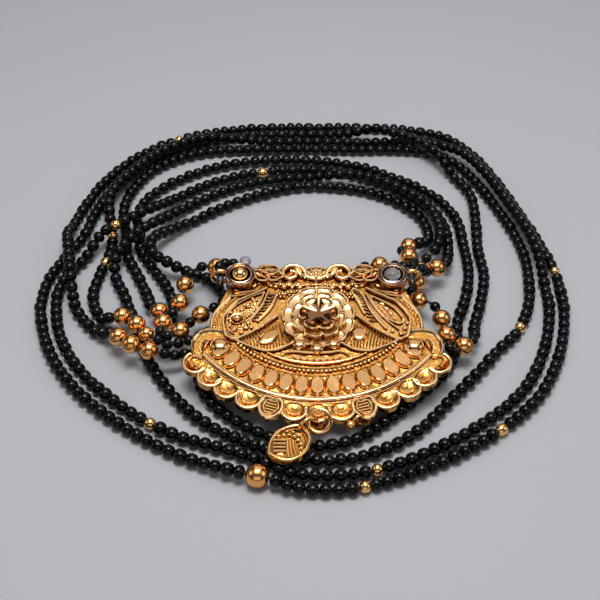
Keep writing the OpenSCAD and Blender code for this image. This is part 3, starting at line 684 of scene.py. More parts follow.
# Small gold beads between the black ones: string, and about where, in millimetres
SPACERS = xy("1 -27.7 46.6, 1 49 2.2, 2 -8.8 34.9, 3 39.8 -14.3, 1 34.5 -38, 1 10.3 -51, "
             "2 11.6 -47.6, 2 -26.2 -37.1, 2 -38 13.5, 2 -38.4 5")
SPACER_GIRTH = 0.86
BEAD_SHARE, SPACER_SHARE = 0.497, 0.47  # half a bead's length, as a share of its pitch
ON_SURFACE = 1.4  # beads whose middle is lower than this lie on the surface, ...
LOW_GIRTH = 1.0286  # ... and go down by what they are thinner than this
SMALL_PITCH, SMALL_HALF, SMALL_GIRTH, SMALL_LOW_Z = 1.86, 0.91, 0.8, 1.02
TO_TAKEN, TO_PENDANT = 0.8, 1.05  # what a small bead's middle keeps away from them
THREAD_R = 0.27
WIDEST = (-49.19, 49.29)  # how far left and right a bead's middle may go
LEAN = 0.09  # how much a bead's direction may differ from its string's
# Spheres that are taken, each with a middle and a radius: crystal and gold balls, then the beads
taken = [((-10.6, -4.2, 9.4), 1.1)]
TAKEN_BEAD, TAKEN_SMALL = 1.12, 0.95


def ball_ends(number, row):
    return ROUTES[number - 1][0][row:row + 2]


for ball in BALLS:
    taken.append((tuple(sum(ball_ends(*ball)) / 2), BALL_D / 2))
spacer_shape = Shape()
bead_shapes = [Shape() for _ in ROUTES]
for number, (points, kinds) in enumerate(ROUTES, 1):
    for run in runs(points, kinds, "B"):
        count = max(1, round(path_length(run) / BEAD_PITCH))
        widths = rng.uniform(0.86, 1.14, count)
        widths *= path_length(run) / widths.sum()
        at, way = by_length(run, np.cumsum(widths) - widths / 2)
        for centre, along, pitch in zip(at, way, widths):
            girth = rng.uniform(0.9, 1.015)
            tilt = rng.uniform(-LEAN, LEAN, 3)
            if centre[2] < ON_SURFACE:
                centre[2] -= LOW_Z * (LOW_GIRTH - girth)
            centre[0] = min(max(centre[0], WIDEST[0]), WIDEST[1])
            if any(s[0] == number and math.dist(s[1:], centre[:2]) < pitch / 2 for s in SPACERS):
                bead(spacer_shape, centre, along, pitch * SPACER_SHARE, SPACER_GIRTH)
            else:
                bead(bead_shapes[number - 1], centre, along + tilt, pitch * BEAD_SHARE, girth,
                     rng.uniform(0, 1))
            taken.append((tuple(centre), TAKEN_BEAD))
# Smaller beads where the strings are bunched, left out where something else is in the way
pendant_skin = BVHTree.FromObject(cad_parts["pendant"], bpy.context.evaluated_depsgraph_get())
for number, (points, kinds) in enumerate(ROUTES, 1):
    for run in runs(points, kinds, "T"):
        count = int((path_length(run) - 0.2) / SMALL_PITCH)
        if count < 1:
            continue
        at, way = by_length(run, (np.arange(count) + 0.5) * (path_length(run) / count))
        at[:, 2] = np.maximum(at[:, 2], SMALL_LOW_Z)
        for centre, along in zip(at, way):
            if (min(math.dist(centre, c) - r for c, r in taken) < TO_TAKEN
                    or pendant_skin.find_nearest(Vector(centre) * MM)[3] < TO_PENDANT * MM):
                continue
            bead(bead_shapes[number - 1], centre, along + rng.uniform(-LEAN, LEAN, 3), SMALL_HALF,
                 SMALL_GIRTH, rng.uniform(0, 1))
            taken.append((tuple(centre), TAKEN_SMALL))
for number, (points, kinds) in enumerate(ROUTES, 1):
    bead_shapes[number - 1].object(f"beads_{number}", black_beads, "black_beads", sharp=50,
                                   nodes=[f"strand_{number}"])
    thread = Shape()
    tube(thread, joined(points, kinds, range(len(points) - 1), 0.8), THREAD_R, 6)
    thread.object(f"thread_{number}", thread_skin, "black_beads", sharp=60)
spacer_shape.object("spacer_beads", gold_bright, "gold", sharp=50)


# ---------------- gold balls on the strings
def drilled_ball(shape, ball, d, n=36, bore=0.5, edge=0.05):
    """A polished hollow ball with a soft-edged bore along the string."""
    a, b = ball_ends(*ball)
    r = d / 2
    start = math.asin(bore / r)
    end = r * math.cos(start)
    mouth = [(-end * 0.7, 0.45), (-end * 0.97, 0.46), (-end, bore)]
    skin = [(-r * math.cos(v), r * math.sin(v))
            for v in np.linspace(start + edge, math.pi - start - edge, 19)]
    threaded(shape, mouth + skin + mirrored(-1, mouth[::-1]), (a + b) / 2, b - a, n)


balls, lone = Shape(), Shape()
for ball in BALLS:
    drilled_ball(balls, ball, SMALL_BALL_D if ball == SMALL_BALL else BALL_D)
balls.object("string_balls", gold_ball_skin, "gold", sharp=60,
             nodes=[f"ball_{number}_{row}" for number, row in BALLS])
drilled_ball(lone, LONE_BALL, LONE_BALL_D, 44)
lone.object("front_ball", gold_ball_skin, "gold", sharp=60, nodes=["lone_ball"])

# ---------------- pendant
# Its own frame: u to the right, v away from the camera, and the height above its back
PENDANT_AT = np.array([2.6, -20.0, 5.3])
TILT = 8.0
ARC_V = 10.0  # the middle of the border's arcs
PLATE = 1.2
COLLAR = (13.9, 11.7)
LOBE_LINE = 27.0
LOBE_R = 2.4
LOBES = [-51.4, -43, -35, -25.7, -16.9, -8.5, 0, 8.5, 16.9, 25.7, 35, 43, 51.4]
POINTED = (-16.9, 16.9)  # the two lobes that are leaves
SETTING_R, SETTING_STEP = 22.1, 7
BAR_R, BAR_STEP = 16.35, 3.9


def on_pendant(points):
    return points @ rotation("X", TILT).T + PENDANT_AT


def arc(r, a):
    return polar((0, ARC_V), r, a - 90)


def arc_line(r, a, step=3.0):
    n = max(2, int(2 * a / step))
    return [arc(r, -a + 2 * a * i / n) for i in range(n + 1)]


def ground_height(u, v):
    return 0.05 * math.sin(3.1 * u + 1.3 * v) * math.sin(2.7 * v - 0.8 * u) + 0.03 * math.sin(7 * u)


HALF = xy("0 14.2, 1.6 15, 3.2 14.2, 4.8 15, 6.6 14.4, 9 14.6, 11.4 14.4, 15.2 12.6, 16 10.2, "
          "17.3 6.8, 18.3 3.2, 18.7 1.2, 20.8 0, 22.2 -2, 21.8 -4.4, 22.2 -6.4, 20.6 -8")
lower = []
for a, b in zip(LOBES[::-1], LOBES[-2::-1]):
    lower += [arc(26.2, (a + b) / 2), arc(25.4, b - 1.6), arc(25.35, b), arc(25.4, b + 1.6)]
outline = HALF + lower[:-3] + mirrored(-1, HALF[:0:-1])
holes = [circle((s * COLLAR[0], COLLAR[1]), 1.75, 32)[::-1] for s in (-1, 1)]
plate = Shape()
slab(plate, [outline] + holes, 0.0, PLATE, grain=(0.45, ground_height))
plate.object("pendant_plate", gold_ground, "gold", on_pendant, nodes=["pendant"])

# Bowls of the edge lobes
relief, edging = Shape(), Shape()
for a in LOBES:
    revolve(edging, [(0.01, 0), (LOBE_R - 0.12, 0), (LOBE_R, 0.12), (LOBE_R, 0.95),
                     (LOBE_R - 0.12, 1.1), (2.0, 1.08), (1.75, 0.98), (1.4, 0.82), (0.8, 0.68),
                     (0.01, 0.64)], 36, (*arc(LOBE_LINE, a), 0), close=False)
# Wires and grains of the side edges, rim bar, and the lines of the lower border
SIDE_SHARES, SIDE_U, SIDE_V = [0, 0.35, 0.7, 1], [15.6, 17.1, 18.15, 18.2], [8.3, 5.2, 2.4, 0.7]
for side in (-1, 1):
    wires(edging, [(1.25, 0.34, "15.4 9.3, 15.9 7.6, 17.3 5.8, 18.3 3.8, 18.7 1.9, 18.7 0.6")],
          side)
    wires(relief, [(1.25, 0.16, "14.6 8, 15.4 6.9, 16.9 5, 17.7 3.2, 17.9 1.6, 17.6 0.3")], side)
    for t in np.arange(90) / 89:
        u, v = np.interp(t, SIDE_SHARES, SIDE_U), np.interp(t, SIDE_SHARES, SIDE_V)
        granule(relief, (side * (u + rng.uniform(-0.35, 0.3)), v + rng.uniform(-0.2, 0.2)),
                rng.uniform(0.1, 0.16), 1.22, 7, 4)
for shape, r, a, h, thick, sides in [
        (edging, 25.0, 52, 1.5, 0.4, 12), (edging, 24.4, 50, 1.3, 0.17, 8),
        (edging, 25.55, 50, 1.2, 0.17, 8), (relief, 19.75, 50, 1.25, 0.15, 8),
        (relief, 18.2, 44, 1.3, 0.16, 8)]:
    wire(shape, arc_line(r, a), h, thick, sides=sides)
wire(relief, arc_line(17.3, 30), 1.5, 0.3, sides=10, taper=0.5)
wires(relief, [(1.55, 0.25, "-6.2 -5.6, -5.4 -4.9, -3.8 -4.7, -1.8 -5, 0.4 -5, 2.4 -4.9, 4 -4.6, "
                            "5.6 -5.4")], taper=0.4)
# Granules on the middle line, leaf points over the settings, and short bars with grains between
for k in range(-20, 21):
    a = k * 2.35
    r, longer, turn = (0.3, 1.25, a) if abs(a) < 24 else (0.36, 1.0, 0)
    granule(relief, arc(18.95, a), r, 1.45, stretch_by=longer, turn=turn)
for k in range(-8, 8):
    a = (k + 0.5) * SETTING_STEP
    for off in (-1.5, 1.5):
        petal(relief, arc(19.95, a + off), a - 90, 1.9, 0.75, 1.35, 1.25, 0.1, 0.25, n=7, m=5)
for k in range(-3, 4):
    sweep(relief, [arc(BAR_R, k * BAR_STEP + off) for off in (-1.5, 0, 1.5)],
          [(-0.45, 0.9), (-0.45, 1.4), (-0.3, 1.55), (0.3, 1.55), (0.45, 1.4), (0.45, 0.9)])
for k in range(-4, 4):
    granule(relief, arc(BAR_R, (k + 0.5) * BAR_STEP), 0.24, 1.45, 8, 5)
# Lobes of the lower edge: two leaves, else cups with a rolled rim and a second ridge inside
LEAF = xy("0 2, 1.5 1.2, 1.95 -0.4, 1.3 -1.9, 0 -2.75, -1.3 -1.9, -1.95 -0.4, -1.5 1.2")
for a in LOBES:
    c = arc(LOBE_LINE, a)
    if a in POINTED:
        turned = rotation("Z", a)[:2, :2].T
        leaf = np.array(LEAF) @ turned + c
        mound(edging, leaf, 0.3, 0.8, 0.85)
        wire(edging, leaf, 1.15, 0.34, True)
        wire(edging, c + (leaf - c) * 0.66, 1.0, 0.17, True)
        for j, w in enumerate((0.55, 0.85, 0.95, 0.8, 0.45)):
            rib = [(x, 0.9 - j * 0.58) for x in (-w, 0, w)]
            wire(edging, rib @ turned + c, 1.0, 0.15)
    else:
        wire(edging, circle(c, LOBE_R - 0.26, 34, a - 190, a + 10), 1.12, 0.33, sides=10)
        for inset, r, n, reach, h, thick in ((0.4, 1.3, 26, 2, 0.84, 0.22),
                                             (0.95, 0.6, 18, 0, 0.7, 0.2)):
            wire(edging, circle(arc(LOBE_LINE - inset, a), r, n, a - 180 - reach, a + reach), h,
                 thick, taper=0.35)
# Lugs under the lower edge
for u, v in ((-0.2, -19.2), (7.7, -18.4)):
    revolve(relief, xy("0.75 0.1, 0.75 0.7, 0.95 0.78, 1.2 0.66, 1.28 0.4, 1.2 0.14, 0.95 0.02"),
            32, (u, v, 0))
# Ears, which are cupped scrolls at both ends of the border, and shoulder scrolls by the collars
EAR = xy("-1.5 0.8, -1.5 1.35, -1.4 1.55, -1.24 1.58, -1.1 1.45, -0.7 1.15, -0.1 1.02, 0.5 1.1, "
         "0.95 1.45, 1.12 1.78, 1.3 1.85, 1.46 1.7, 1.5 0.8")
SHOULDER = xy("-0.95 0.8, -0.95 1.55, -0.75 1.75, -0.5 1.5, 0 1.35, 0.5 1.5, 0.75 1.75, "
              "0.95 1.55, 0.95 0.8")
for side in (-1, 1):
    bend = xy("14.9 -2.5, 16.4 -1.4, 18.5 -1, 20.2 -1.8, 20.8 -3.3, 20.7 -4.8, 19.9 -6")
    sweep(edging, mirrored(side, bend), mirrored(-side, EAR), [0.4, 0.8, 1.0, 1.08, 1.0, 0.8, 0.45])
    wires(edging, [(1.35, 0.2, "19.4 -1.7, 20.3 -2.4, 20.5 -3.6, 20.2 -4.9")], side, taper=0.5)
    bend = xy("15 9, 13.6 9.6, 12 9.9, 10.6 10.9, 9.6 12.3")
    sweep(relief, mirrored(side, bend), SHOULDER, [0.6, 1.0, 1.0, 0.8, 0.5])
    wires(relief, [(1.3, 0.25, "20 -6, 21.6 -5.6, 22.2 -6.6, 21.4 -7.9"),
                   (1.6, 0.24, "15.5 8.9, 15.6 9.8, 14.9 10.3, 14.1 9.9, 14.3 9.2, 14.8 9.3"),
                   (1.45, 0.24, "10.4 9.6, 12.6 8.6, 14.4 8.2, 15.5 8")], side)
relief.object("pendant_borders", gold_cast, "gold", on_pendant)
edging.object("pendant_edge", gold_edge, "gold", on_pendant)

# Row of oval settings with their walls, and the domes in the ears
settings, walls = Shape(), Shape()
for k in range(-7, 8):
    a = k * SETTING_STEP
    c = arc(SETTING_R, a)
    cabochon(settings, c, a, rng.uniform(-0.1, 0.1))
    oval = [(1.31 * math.cos(t), 2.05 * math.sin(t))
            for t in np.linspace(0, 2 * math.pi, 24, endpoint=False)]
    wire(walls, oval @ rotation("Z", a)[:2, :2].T + c, 1.3, 0.13, True, sides=6)
for side in (-1, 1):
    dome(settings, (side * 17.1, -3.5), 1.75, 1.6, 1.2, 2.5, 2.4, 9)
settings.object("pendant_settings", gold_face, "gold", on_pendant, sharp=20)
walls.object("pendant_setting_walls", gold_cast, "gold", on_pendant)

# Leaves and paisleys left and right of the rosette
leaves = Shape()
PAISLEY = xy("9 9.7, 10.5 8.8, 12.6 7.6, 14.4 6.5, 15.8 4.7, 16.6 2.8, 16.6 1.1, 16.2 -0.8, "
             "15.3 -1.8, 14.1 -1.9, 12.4 -1.1, 10.9 -0.1, 9.5 1.2, 8.2 2.3, 7 3.4, 7 6, 7 8.4")
LOW_LEAF = xy("14.4 -2.1, 12.9 -3.1, 10.8 -4, 8.8 -4.5, 6.8 -4.2, 5 -3.4, 4.2 -2.6, 4.5 -1.2, "
              "5.2 0.3, 6 1.7, 7.2 2.3, 8.4 1.7, 10.2 0.1, 12.2 -1.2")
for side in (-1, 1):
    field, low_leaf = mirrored(side, PAISLEY), mirrored(side, LOW_LEAF)
    mound(leaves, field, 0.8, 1.3, 1.5)
    wire(leaves, field[:-2], 1.7, 0.27)
    mound(leaves, low_leaf, 0.8, 1.2, 1.4)
    wire(leaves, low_leaf[:7], 1.6, 0.28)
    # Hatching of the lower leaf
    for k in range(13):
        t = k / 12
        top = np.array([13.3 - 6.6 * t, -1.75 + 3.4 * t])
        foot = np.array([12.4 - 6.4 * t, -3.15 - 1.05 * math.sin(math.pi * min(1, 0.2 + t * 0.8))])
        hatch = [top, (top + foot) / 2 - [0.12, 0], foot]
        wire(leaves, mirrored(side, hatch), 1.42, 0.13, sides=6)
    for k in range(6):
        hatch = [(6.2 - 0.1 * k, -0.4 - 0.25 * k), (5.0 - 0.1 * k, 0.6 - 0.75 * k)]
        wire(leaves, mirrored(side, hatch), 1.45, 0.12, sides=6)


def ladder(left, right, shares, first, sag, h, r, rungs=9):
    """Rungs between two lines, whose points stand at shares of the ladder's length."""
    for k in range(rungs):
        t = (k + first) / rungs
        a, b = [np.array([np.interp(t, shares, row) for row in zip(*xy(text))])
                for text in (left, right)]
        wire(leaves, [a, (a + b) / 2 - [0, sag], b], h, r, sides=6)


# Left paisley: ringed boss, bosses, and a ladder of rungs
BOSS = (-14.2, 2.5)
wires(leaves, [(1.6, 0.16, "-9.5 8.8, -11.1 8.1, -13.2 6.8, -15 5.3, -15.9 3.5, -16 1.6, "
                           "-15.6 0.1, -14.7 -0.8"),
               (1.7, 0.2, "-9.4 8.7, -10.2 6.6, -11.3 4.7, -12.6 2.9"),
               (1.7, 0.2, "-8.7 9.1, -9.6 6.2, -10.9 3.8, -12.1 2"),
               (1.75, 0.24, "-6.9 9.2, -7.5 6.9, -8.4 4.8, -9.5 3.2, -10.6 1.9")])
ladder("-8.8 8.7, -9.6 6.2, -10.9 3.8, -12.1 2", "-7.1 8.6, -7.6 6.4, -8.8 4.2, -10.6 1.9",
       [0, 0.35, 0.7, 1], 0.5, 0.12, 1.65, 0.2)
bowl(leaves, BOSS, 1.35, 1.25, 1.2, 1.85, 1.4)
granule(leaves, BOSS, 0.62, 1.9, 16, 10)
grains(leaves, "-12.4 5.6 0.6, -13.4 4.6 0.4, -15.4 4 0.3, -14.6 0.2 0.5, -12.6 0.5 0.55, "
               "-13.4 -0.6 0.4, -11.5 7.1 0.4, -15.5 0.9 0.3, -12.2 1.6 0.45, -10.9 6.9 0.3, "
               "-11.6 0.6 0.35, -15.7 2.6 0.28", 1.55)
GRAINED = xy("-10.2 7.6, -12.8 6.2, -15.2 4.4, -15.6 2, -15.2 0.2, -13.6 -0.8, -12 0.4, "
             "-11.4 2.8, -10.4 5.2")
for _ in range(260):
    p = (rng.uniform(-15.6, -10.2), rng.uniform(-0.9, 7.6))
    if inside(p, GRAINED) and math.dist(p, BOSS) > 1.4:
        granule(leaves, p, rng.uniform(0.14, 0.22), 1.48, 7, 4)
# Right paisley: ladder, double wire, and a veined drop
wires(leaves, [(1.7, 0.22, "6.4 9.1, 7.3 6.9, 8.6 3.6"),
               (1.75, 0.22, "7 9.3, 8.2 8.5, 9.3 5.4, 10.7 2.7, 12.4 0.2"),
               (1.75, 0.22, "6.4 9.1, 6.7 9.5, 7.2 9.4"),
               (1.7, 0.18, "9 8.6, 9.9 6.4, 11.3 3.9, 12.9 1.8, 14.6 0.1")])
ladder("6.6 8.6, 7.5 6.2, 9.6 1.9", "8.1 8.4, 9.2 5.6, 11.2 2", [0, 0.5, 1], 0.6, 0.15, 1.62, 0.19)
wires(leaves, [(1.7, 0.2, "9.9 7.6, 12.3 6.3, 14.4 4.5, 15.4 2.6, 14.9 1.5, 13.4 2, 12 2.9, "
                          "10.8 5")], closed=True)
for k in range(5):
    root = (10.9 + 0.75 * k, 6.3 - 0.9 * k)
    for turn, length, width in ((-95 - 10 * k, 1.9 - 0.15 * k, 0.9), (-10 - 12 * k, 1.5, 0.8)):
        petal(leaves, root, turn, length, width, 1.35, 1.5, 0.0, 0.3, n=7, m=5)
grains(leaves, "15.6 0.4 0.4, 14.9 -0.8 0.45, 13.4 -0.2 0.35, 16.2 1.6 0.35", 1.5)
leaves.object("pendant_leaves", gold_cast, "gold", on_pendant)

smooth = Shape()
mound(smooth, xy("-10.3 -2.3, -9.5 -0.9, -8.4 -0.1, -7.2 0.1, -6.8 -1, -7.4 -2.3, -8.5 -3, "
                 "-9.8 -3"), 1.0, 1.65, 1.9, 4.0)
dome(smooth, (7.5, -0.9), 1.5, 1.6, 1.0, 1.95, 3.5)
for at in ((-3.1, -3.3), (0.0, -4.2), (2.9, -3.2)):
    dome(smooth, at, 1.35, 1.15, 1.1, 2.35, 2.6)
smooth.object("pendant_smooth_bosses", gold_face, "gold", on_pendant)


def on_petal(at, turn, length, width, shares):
    """Places on a petal, from their shares of its length and of its width."""
    c, s = math.cos(math.radians(turn)), math.sin(math.radians(turn))
    return [(at[0] + f * length * c - g * width * s, at[1] + f * length * s + g * width * c)
            for f, g in shares]


# Rosette: tiers of cupped petals round a small polished star
rosette, star = Shape(), Shape()
MID = (0.35, 2.9)
# Count, first angle, the roots' distance in u and v, length, width, height at the root and tip
TIERS = [(11, 12, 3.6, 4.0, 2.9, 3.7, 1.6, 1.75), (8, 30, 2.1, 2.4, 2.8, 3.3, 2.1, 2.3),
         (6, 0, 1.3, 1.5, 2.3, 2.8, 2.5, 2.7)]
PETAL_RIM = xy("0.35 0.36, 0.7 0.46, 0.9 0.32, 0.99 0, 0.9 -0.32, 0.7 -0.46, 0.35 -0.36")
for count, start, ru, rv, length, width, base, tip in TIERS:
    for k in range(count):
        a = k * 360 / count + start
        at = (polar(MID, ru, a)[0], polar(MID, rv, a)[1])
        petal(rosette, at, a, length, width, base, tip, n=13, m=11)
        wire(rosette, on_petal(at, a, length, width, PETAL_RIM),
             [base + (tip - base) * f + 0.24 for f, g in PETAL_RIM], 0.2, taper=0.5)
dome(rosette, MID, 3.5, 4.1, 0.9, 2.3, 2.0, 6)
rosette.object("pendant_rosette", gold_edge, "gold", on_pendant)
star_at = (MID[0], MID[1] - 0.1)
mound(star, [polar(star_at, 2.0 if k % 2 else 3.3, 90 + k * 36) for k in range(10)], 2.6, 3.6, 3.1,
      1.5, 4, 0.25)
star.object("pendant_star", gold_painted_dark, "gold", on_pendant, sharp=24)

# Crown: shells, fan, leaves, and the row of bosses under them
crown = Shape()
CROWN_HALF = xy("10.6 11, 10.8 12.6, 9.8 13.9, 7.6 13.5, 5.2 14.4, 3.2 14, 1.6 14.6")
mound(crown, mirrored(-1, CROWN_HALF) + [(0, 14.2)] + CROWN_HALF[::-1]
      + xy("5 10.9, 0 11.1, -5 10.9"), 0.8, 1.28, 1.3)
for k in range(-5, 6):
    petal(crown, (1.62 * k, 11.35 + 0.01 * k * k), -90 + 1.5 * k, 1.5, 1.5, 1.65, 1.3, n=9)
SCROLL = xy("2.1 12, 2 13.4, 3 14.6, 4.7 14.9, 6 13.9, 5.9 12.4, 4.8 11.8, 3.8 12.3, 3.9 13.3, "
            "4.7 13.5")
CROWN_RIM = xy("0.02 0, 0.3 0.46, 0.62 0.47, 0.98 0, 0.62 -0.47, 0.3 -0.46")
for side in (-1, 1):
    wire(crown, mirrored(side, SCROLL), [1.7, 1.9, 2.0, 2.0, 1.95, 1.9, 1.85, 1.9, 2.0, 2.1], 0.46,
         taper=0.35, sides=10)
    petal(crown, (side * 2.6, 12.2), 90 - side * 28, 2.7, 1.6, 1.7, 2.0, 0.0, 0.45)
    for u, v, *leaf in xy("6 12.2 6 4.3 2.5, 6.6 13.6 2 4 2.1, 8.6 11.3 34 3.9 2.3"):
        turn, length, width = leaf
        petal(crown, (side * u, v), turn if side > 0 else 180 - turn, length, width, 1.8, 2.1, 0.8,
              n=13, m=11)
        vein = on_petal((u, v), *leaf, [(0.1, 0), (0.4, 0), (0.8, 0)])
        wire(crown, mirrored(side, vein), 1.85, 0.17, sides=6)
        wire(crown, mirrored(side, on_petal((u, v), *leaf, CROWN_RIM)), 2.28, 0.2, True)
    wires(crown, [(1.4, 0.3, "2 13.4, 2.6 14.6, 4.2 15, 6.2 14.4, 7.6 14.2, 9.6 14.5, 11.3 14"),
                  (1.6, 0.34, "10.4 10.6, 11 12, 11.3 13.6")], side)
for a in range(30, 151, 20):
    petal(crown, (0, 11.5), a, 3.1, 1.25, 1.8, 1.85, 0.0, 0.35)
grains(crown, "-0.9 12.6 0.4, 0 12.9 0.4, 0.9 12.6 0.4, -0.45 13.5 0.4, 0.45 13.5 0.4, 0 12.1 0.4",
       2.0, 10, 6)
wires(crown, [(1.4, 0.3, "-2.6 13.2, -1.6 14.5, 0 14.8, 1.6 14.5, 2.6 13.2")])
rope = xy("-9.3 11.4, -6.6 10.7, -3.6 10.4, 0.2 10.6, 3.8 10.4, 6.6 10.7, 9.3 11.4")
for at in spline(rope, 0.42):
    granule(crown, at, 0.25, 1.5, 8, 5, stretch_by=1.2, turn=50)
for u, r in xy("-7.4 0.42, -5.9 0.5, -4.4 0.38, -3 0.52, -1.5 0.42, 0 0.5, 1.5 0.46, 2.9 0.56, "
               "4.4 0.44, 5.8 0.54, 7.3 0.44"):
    granule(crown, (u, 9.75 + 0.006 * u * u), r, 1.6, 12, 8)
for at in xy("-6.2 8.2, -4.6 8.6, -3 8.9, 3 8.9, 4.6 8.6, 6.2 8"):
    for k in range(5):
        granule(crown, polar(at, 0.55, 72 * k + 20), 0.3, 1.55, 8, 5)
    granule(crown, at, 0.3, 1.8, 8, 5)
crown.object("pendant_crown", gold_cast, "gold", on_pendant)

# Collar rings with a rolled lip, and the wire eyes behind them
collars, eyes = Shape(), Shape()
for side in (-1, 1):
    revolve(collars, xy("2.45 0.9, 2.62 1.1, 2.7 1.5, 2.6 1.85, 2.62 2.4, 2.74 2.85, 2.76 3.2, "
                        "2.68 3.46, 2.54 3.54, 2.42 3.44, 2.36 3.2, 2.28 3.12, 2.2 3.2, "
                        "2.14 3.38, 2.02 3.42, 1.92 3.3, 1.84 3, 1.78 2.7, 1.75 0.2"), 56,
            (side * COLLAR[0], COLLAR[1], 0))
    tube(eyes, [(u, 12.6, h) for u, h in circle((side * 17.6, 1.6), 1.5, 36)], 0.43, 12, True)
    tube(eyes, [(side * 15.2, 11, 0.6), (side * 15.8, 11.6, 0.75), (side * 16.35, 12.2, 0.9)],
         [0.5, 0.45, 0.4], 10)
collars.object("pendant_collars", gold_rose, "gold", on_pendant)
eyes.object("thread_eyes", gold_bright, "gold", on_pendant)

# ---------------- pieces held by the pendant
held = Shape()
revolve(held, [(0.01, -1.5)] + [(1.5 * math.sin(v), -1.5 * math.cos(v))
                                for v in np.linspace(0, math.pi, 20)[1:-1]] + [(0.01, 1.5)],
        40, (-COLLAR[0], COLLAR[1], 3.0), close=False)
held.object("held_ball", gold_bright, "gold", on_pendant, nodes=["ring_ball"])


def brilliant(shape, place, girdle, table, culet, crown_h, pavilion_h, sides=8, belt=0.12):
    """A cut stone: flat table, crown and pavilion facets round a thin girdle."""
    every = [180 * k / sides for k in range(2 * sides)]
    up = pavilion_h + belt
    rows = [(culet, 0, every[::2]), (girdle, pavilion_h, every), (girdle, up, every),
            (0.86 * girdle, up + crown_h * 0.45, every[1::2]), (table, up + crown_h, every[::2])]
    points = [(*polar((0, 0), r, a), z) for r, z, angles in rows for a in angles]
    b, c, d, e = sides, 3 * sides, 5 * sides, 6 * sides
    faces = [tuple(range(sides))[::-1], tuple(range(e, e + sides))]
    for k in range(sides):
        n, i, j, m = (k + 1) % sides, 2 * k, 2 * k + 1, (2 * k + 2) % (2 * sides)
        faces += [(k, n, b + j), (k, b + j, b + i), (n, b + m, b + j),
                  (b + i, b + j, c + j, c + i), (b + j, b + m, c + m, c + j),
                  (c + i, c + j, d + k), (c + j, c + m, d + k), (c + i, d + k, e + k),
                  (c + m, e + n, d + k), (e + k, d + k, e + n)]
    shape.add(place(np.array(points)), faces)


stone, gem = Shape(), Shape()
brilliant(stone, lambda p: on_pendant(p + [*COLLAR, 2.2]), 1.5, 0.85, 0.5, 0.68, 1.1)
stone.object("held_stone", stone_clear, "clear_stone", sharp=None, nodes=["ring_stone"])
gem_turn = rotation("Z", 15) @ rotation("X", 20)
brilliant(gem, lambda p: p @ gem_turn.T + [-10.6, -4.2, 8.7], 1.1, 0.62, 0.45, 0.5, 0.8)
gem.object("back_crystal", stone_violet, "crystal", sharp=None, nodes=["crystal"])


def euler(x, y, z):
    return rotation("Z", z) @ rotation("Y", y) @ rotation("X", x)


def jump_ring(name, at, angles, r, wire_r, node):
    """A round wire ring, its cut ends meeting in a fine seam."""
    shape, turn = Shape(), euler(*angles)
    tube(shape, [(*polar((0, 0), r, a), 0) for a in np.linspace(2.0, 358.0, 72)], wire_r, 16)
    shape.object(name, gold_bright, "gold", lambda p: p @ turn.T + at, nodes=[node])


jump_ring("small_jump_ring", (1, -39.9, 3.4), (0, 90, -63), 1.75, 0.32, "jump_ring_a")
jump_ring("large_jump_ring", (2.85, -39.7, 4.45), (36, -10, 0), 1.93, 0.42, "jump_ring_b")

drop = Shape()
ring = [(u, v, 0) for u, v in circle((0, 0), 1.2, 40)]
tube(drop, ring @ euler(0, 90, -58).T + [9.45, -38.8, 3.5], 0.25, 12, True)
granule(drop, (8.1, -39.6), 0.85, 3.3, 32, 20)
drop.object("drop_ball_and_loop", gold_bright, "gold", sharp=60, nodes=["drop_ball"])

# Charm: shield-shaped plate with a rolled rim, bars, dots and curved petals
CHARM_TURN = 25
CHARM_V = -4.0  # its middle, below the eye


def on_charm(points):
    return points @ rotation("Z", -CHARM_TURN).T + [-0.63, -40.77, 2.8]


def drawn_in(share):
    """The shield's outline drawn in towards the middle of the charm."""
    return [(share * x, CHARM_V + share * (y - CHARM_V)) for x, y in shield]


def upright(u, v):
    """A place measured from the shield's middle along the room's own axes."""
    return on_petal((0, CHARM_V), CHARM_TURN, 1, 1, [(u, v)])[0]


charm = Shape()
shield = spline(xy("0 1.25, 1.5 0.55, 2.75 -0.8, 3.3 -2.5, 3.25 -4.3, 2.6 -6, 1.2 -7.25, "
                   "-0.7 -7.5, -2.35 -7, -3.1 -5.3, -3.35 -3.5, -3.05 -1.7, -2.1 -0.2, -1 0.85"),
                closed=True)
slab(charm, [[tuple(p) for p in shield], circle((0, 0), 0.75, 24)[::-1]], 0.0, 0.75)
revolve(charm, xy("0.75 0.05, 0.75 0.72, 0.92 0.8, 1.12 0.7, 1.16 0.4, 1.1 0.1, 0.92 0"), 32)
wire(charm, drawn_in(0.9), 0.85, 0.34, True, sides=10)
wire(charm, drawn_in(0.74), 0.85, 0.12, True, sides=6)
for k in range(4):
    v = 1.15 - 0.78 * k
    wire(charm, [upright(-2.55 + 0.05 * k, v), upright(-1.4, v + 0.03), upright(-0.35, v)], 0.88,
         0.24)
for u0, v0, u1, v1, r in xy("-0.1 1.3 0.1 -2.6 0.2, 0.3 1.4 0.75 -2.7 0.17, "
                            "0.75 1.2 1.35 -2.3 0.2"):
    bend = upright((u0 + u1) / 2 - 0.1, (v0 + v1) / 2)
    wire(charm, [upright(u0, v0), bend, upright(u1, v1)], 0.9, r)
for u, v, r in xy("-1.6 2 0.42, -0.7 2.2 0.36, 0.15 2.25 0.34, 1 1.9 0.44, 1.65 1.1 0.42, "
                  "2.05 0.25 0.46, 2.15 -0.7 0.44, 2 -1.6 0.36, -0.2 3.05 0.3, 0.8 2.85 0.3, "
                  "1.75 2.1 0.32"):
    granule(charm, upright(u, v), r, 0.9, 12, 8)
for u, v, turn, *size in xy("-2.2 -1.95 2 1.7 1, -1 -2 -75 1.2 0.9, -0.1 -2.5 -100 0.9 0.8"):
    petal(charm, upright(u, v), turn + CHARM_TURN, *size, 0.8, 0.85, 0.0, 0.3, 0.5, 7, 5)
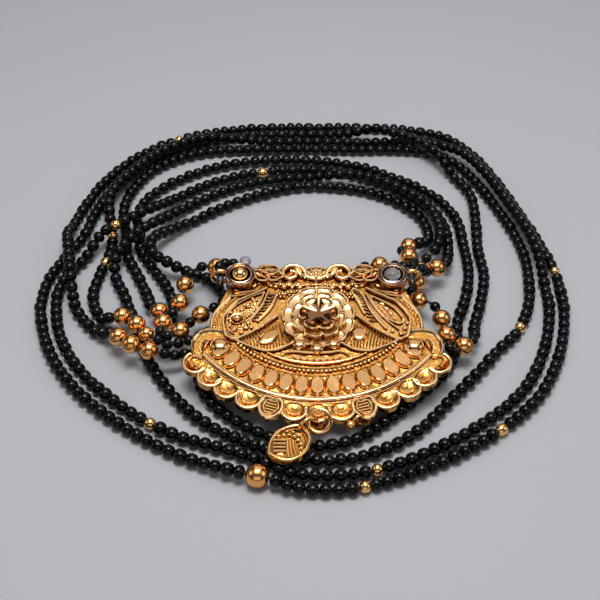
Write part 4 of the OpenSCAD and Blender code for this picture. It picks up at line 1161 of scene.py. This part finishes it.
charm.object("leaf_charm", gold_edge, "gold", on_charm, nodes=["charm"])

# ---------------- floor and light
FLOOR_Z = -0.00001  # just under the part, in metres
floor_mesh = bpy.data.meshes.new("floor")
floor_mesh.from_pydata([(x, y, FLOOR_Z) for x, y in ((-3, -3), (3, -3), (3, 3), (-3, 3))],
                       [], [(0, 1, 2, 3)])
floor = added("floor", floor_mesh)
ground = Nodes("floor_paper")
paper = ground.mixed(ground.noise(9, 3), (0.402, 0.417, 0.452), (0.422, 0.437, 0.472))
ground.set(Base_Color=paper, Roughness=ground.patchy(600, 2, 0.62, 0.72))
floor_mesh.materials.append(ground.material)

world = bpy.data.worlds.new("studio")
bpy.context.scene.world = world
world.use_nodes = True
world.node_tree.nodes["Background"].inputs[0].default_value = (0.95, 0.97, 1.0, 1)
world.node_tree.nodes["Background"].inputs[1].default_value = 0.08
bpy.context.scene.view_settings.view_transform = "Standard"


def soft_light(name, at, aim, size, watts, colour=(1, 1, 1)):
    data = bpy.data.lights.new(name, "AREA")
    data.shape = "RECTANGLE"
    data.size, data.size_y = size
    data.energy = watts
    data.color = colour
    lamp = added(name, data)
    lamp.location = at
    lamp.rotation_euler = (Vector(aim) - Vector(at)).to_track_quat("-Z", "Y").to_euler()


soft_light("key", (0, -0.01, 0.34), (0, -0.02, 0), (0.15, 0.13), 0.72, (1.0, 0.99, 0.97))
soft_light("top", (0, -0.03, 0.33), (0, -0.03, 0), (0.34, 0.22), 0.30, (1.0, 0.985, 0.96))
soft_light("back", (0.05, 0.255, 0.33), (0, 0, 0), (0.46, 0.36), 0.37, (1.0, 0.98, 0.96))
soft_light("right", (0.36, -0.05, 0.22), (0, 0, 0), (0.25, 0.22), 0.20, (1.0, 0.97, 0.93))
soft_light("left", (-0.36, -0.02, 0.22), (0, 0, 0), (0.22, 0.2), 0.12, (1.0, 0.97, 0.93))
soft_light("front", (0, -0.50, 0.22), (0, -0.01, 0), (0.6, 0.3), 0.34, (1.0, 0.96, 0.9))
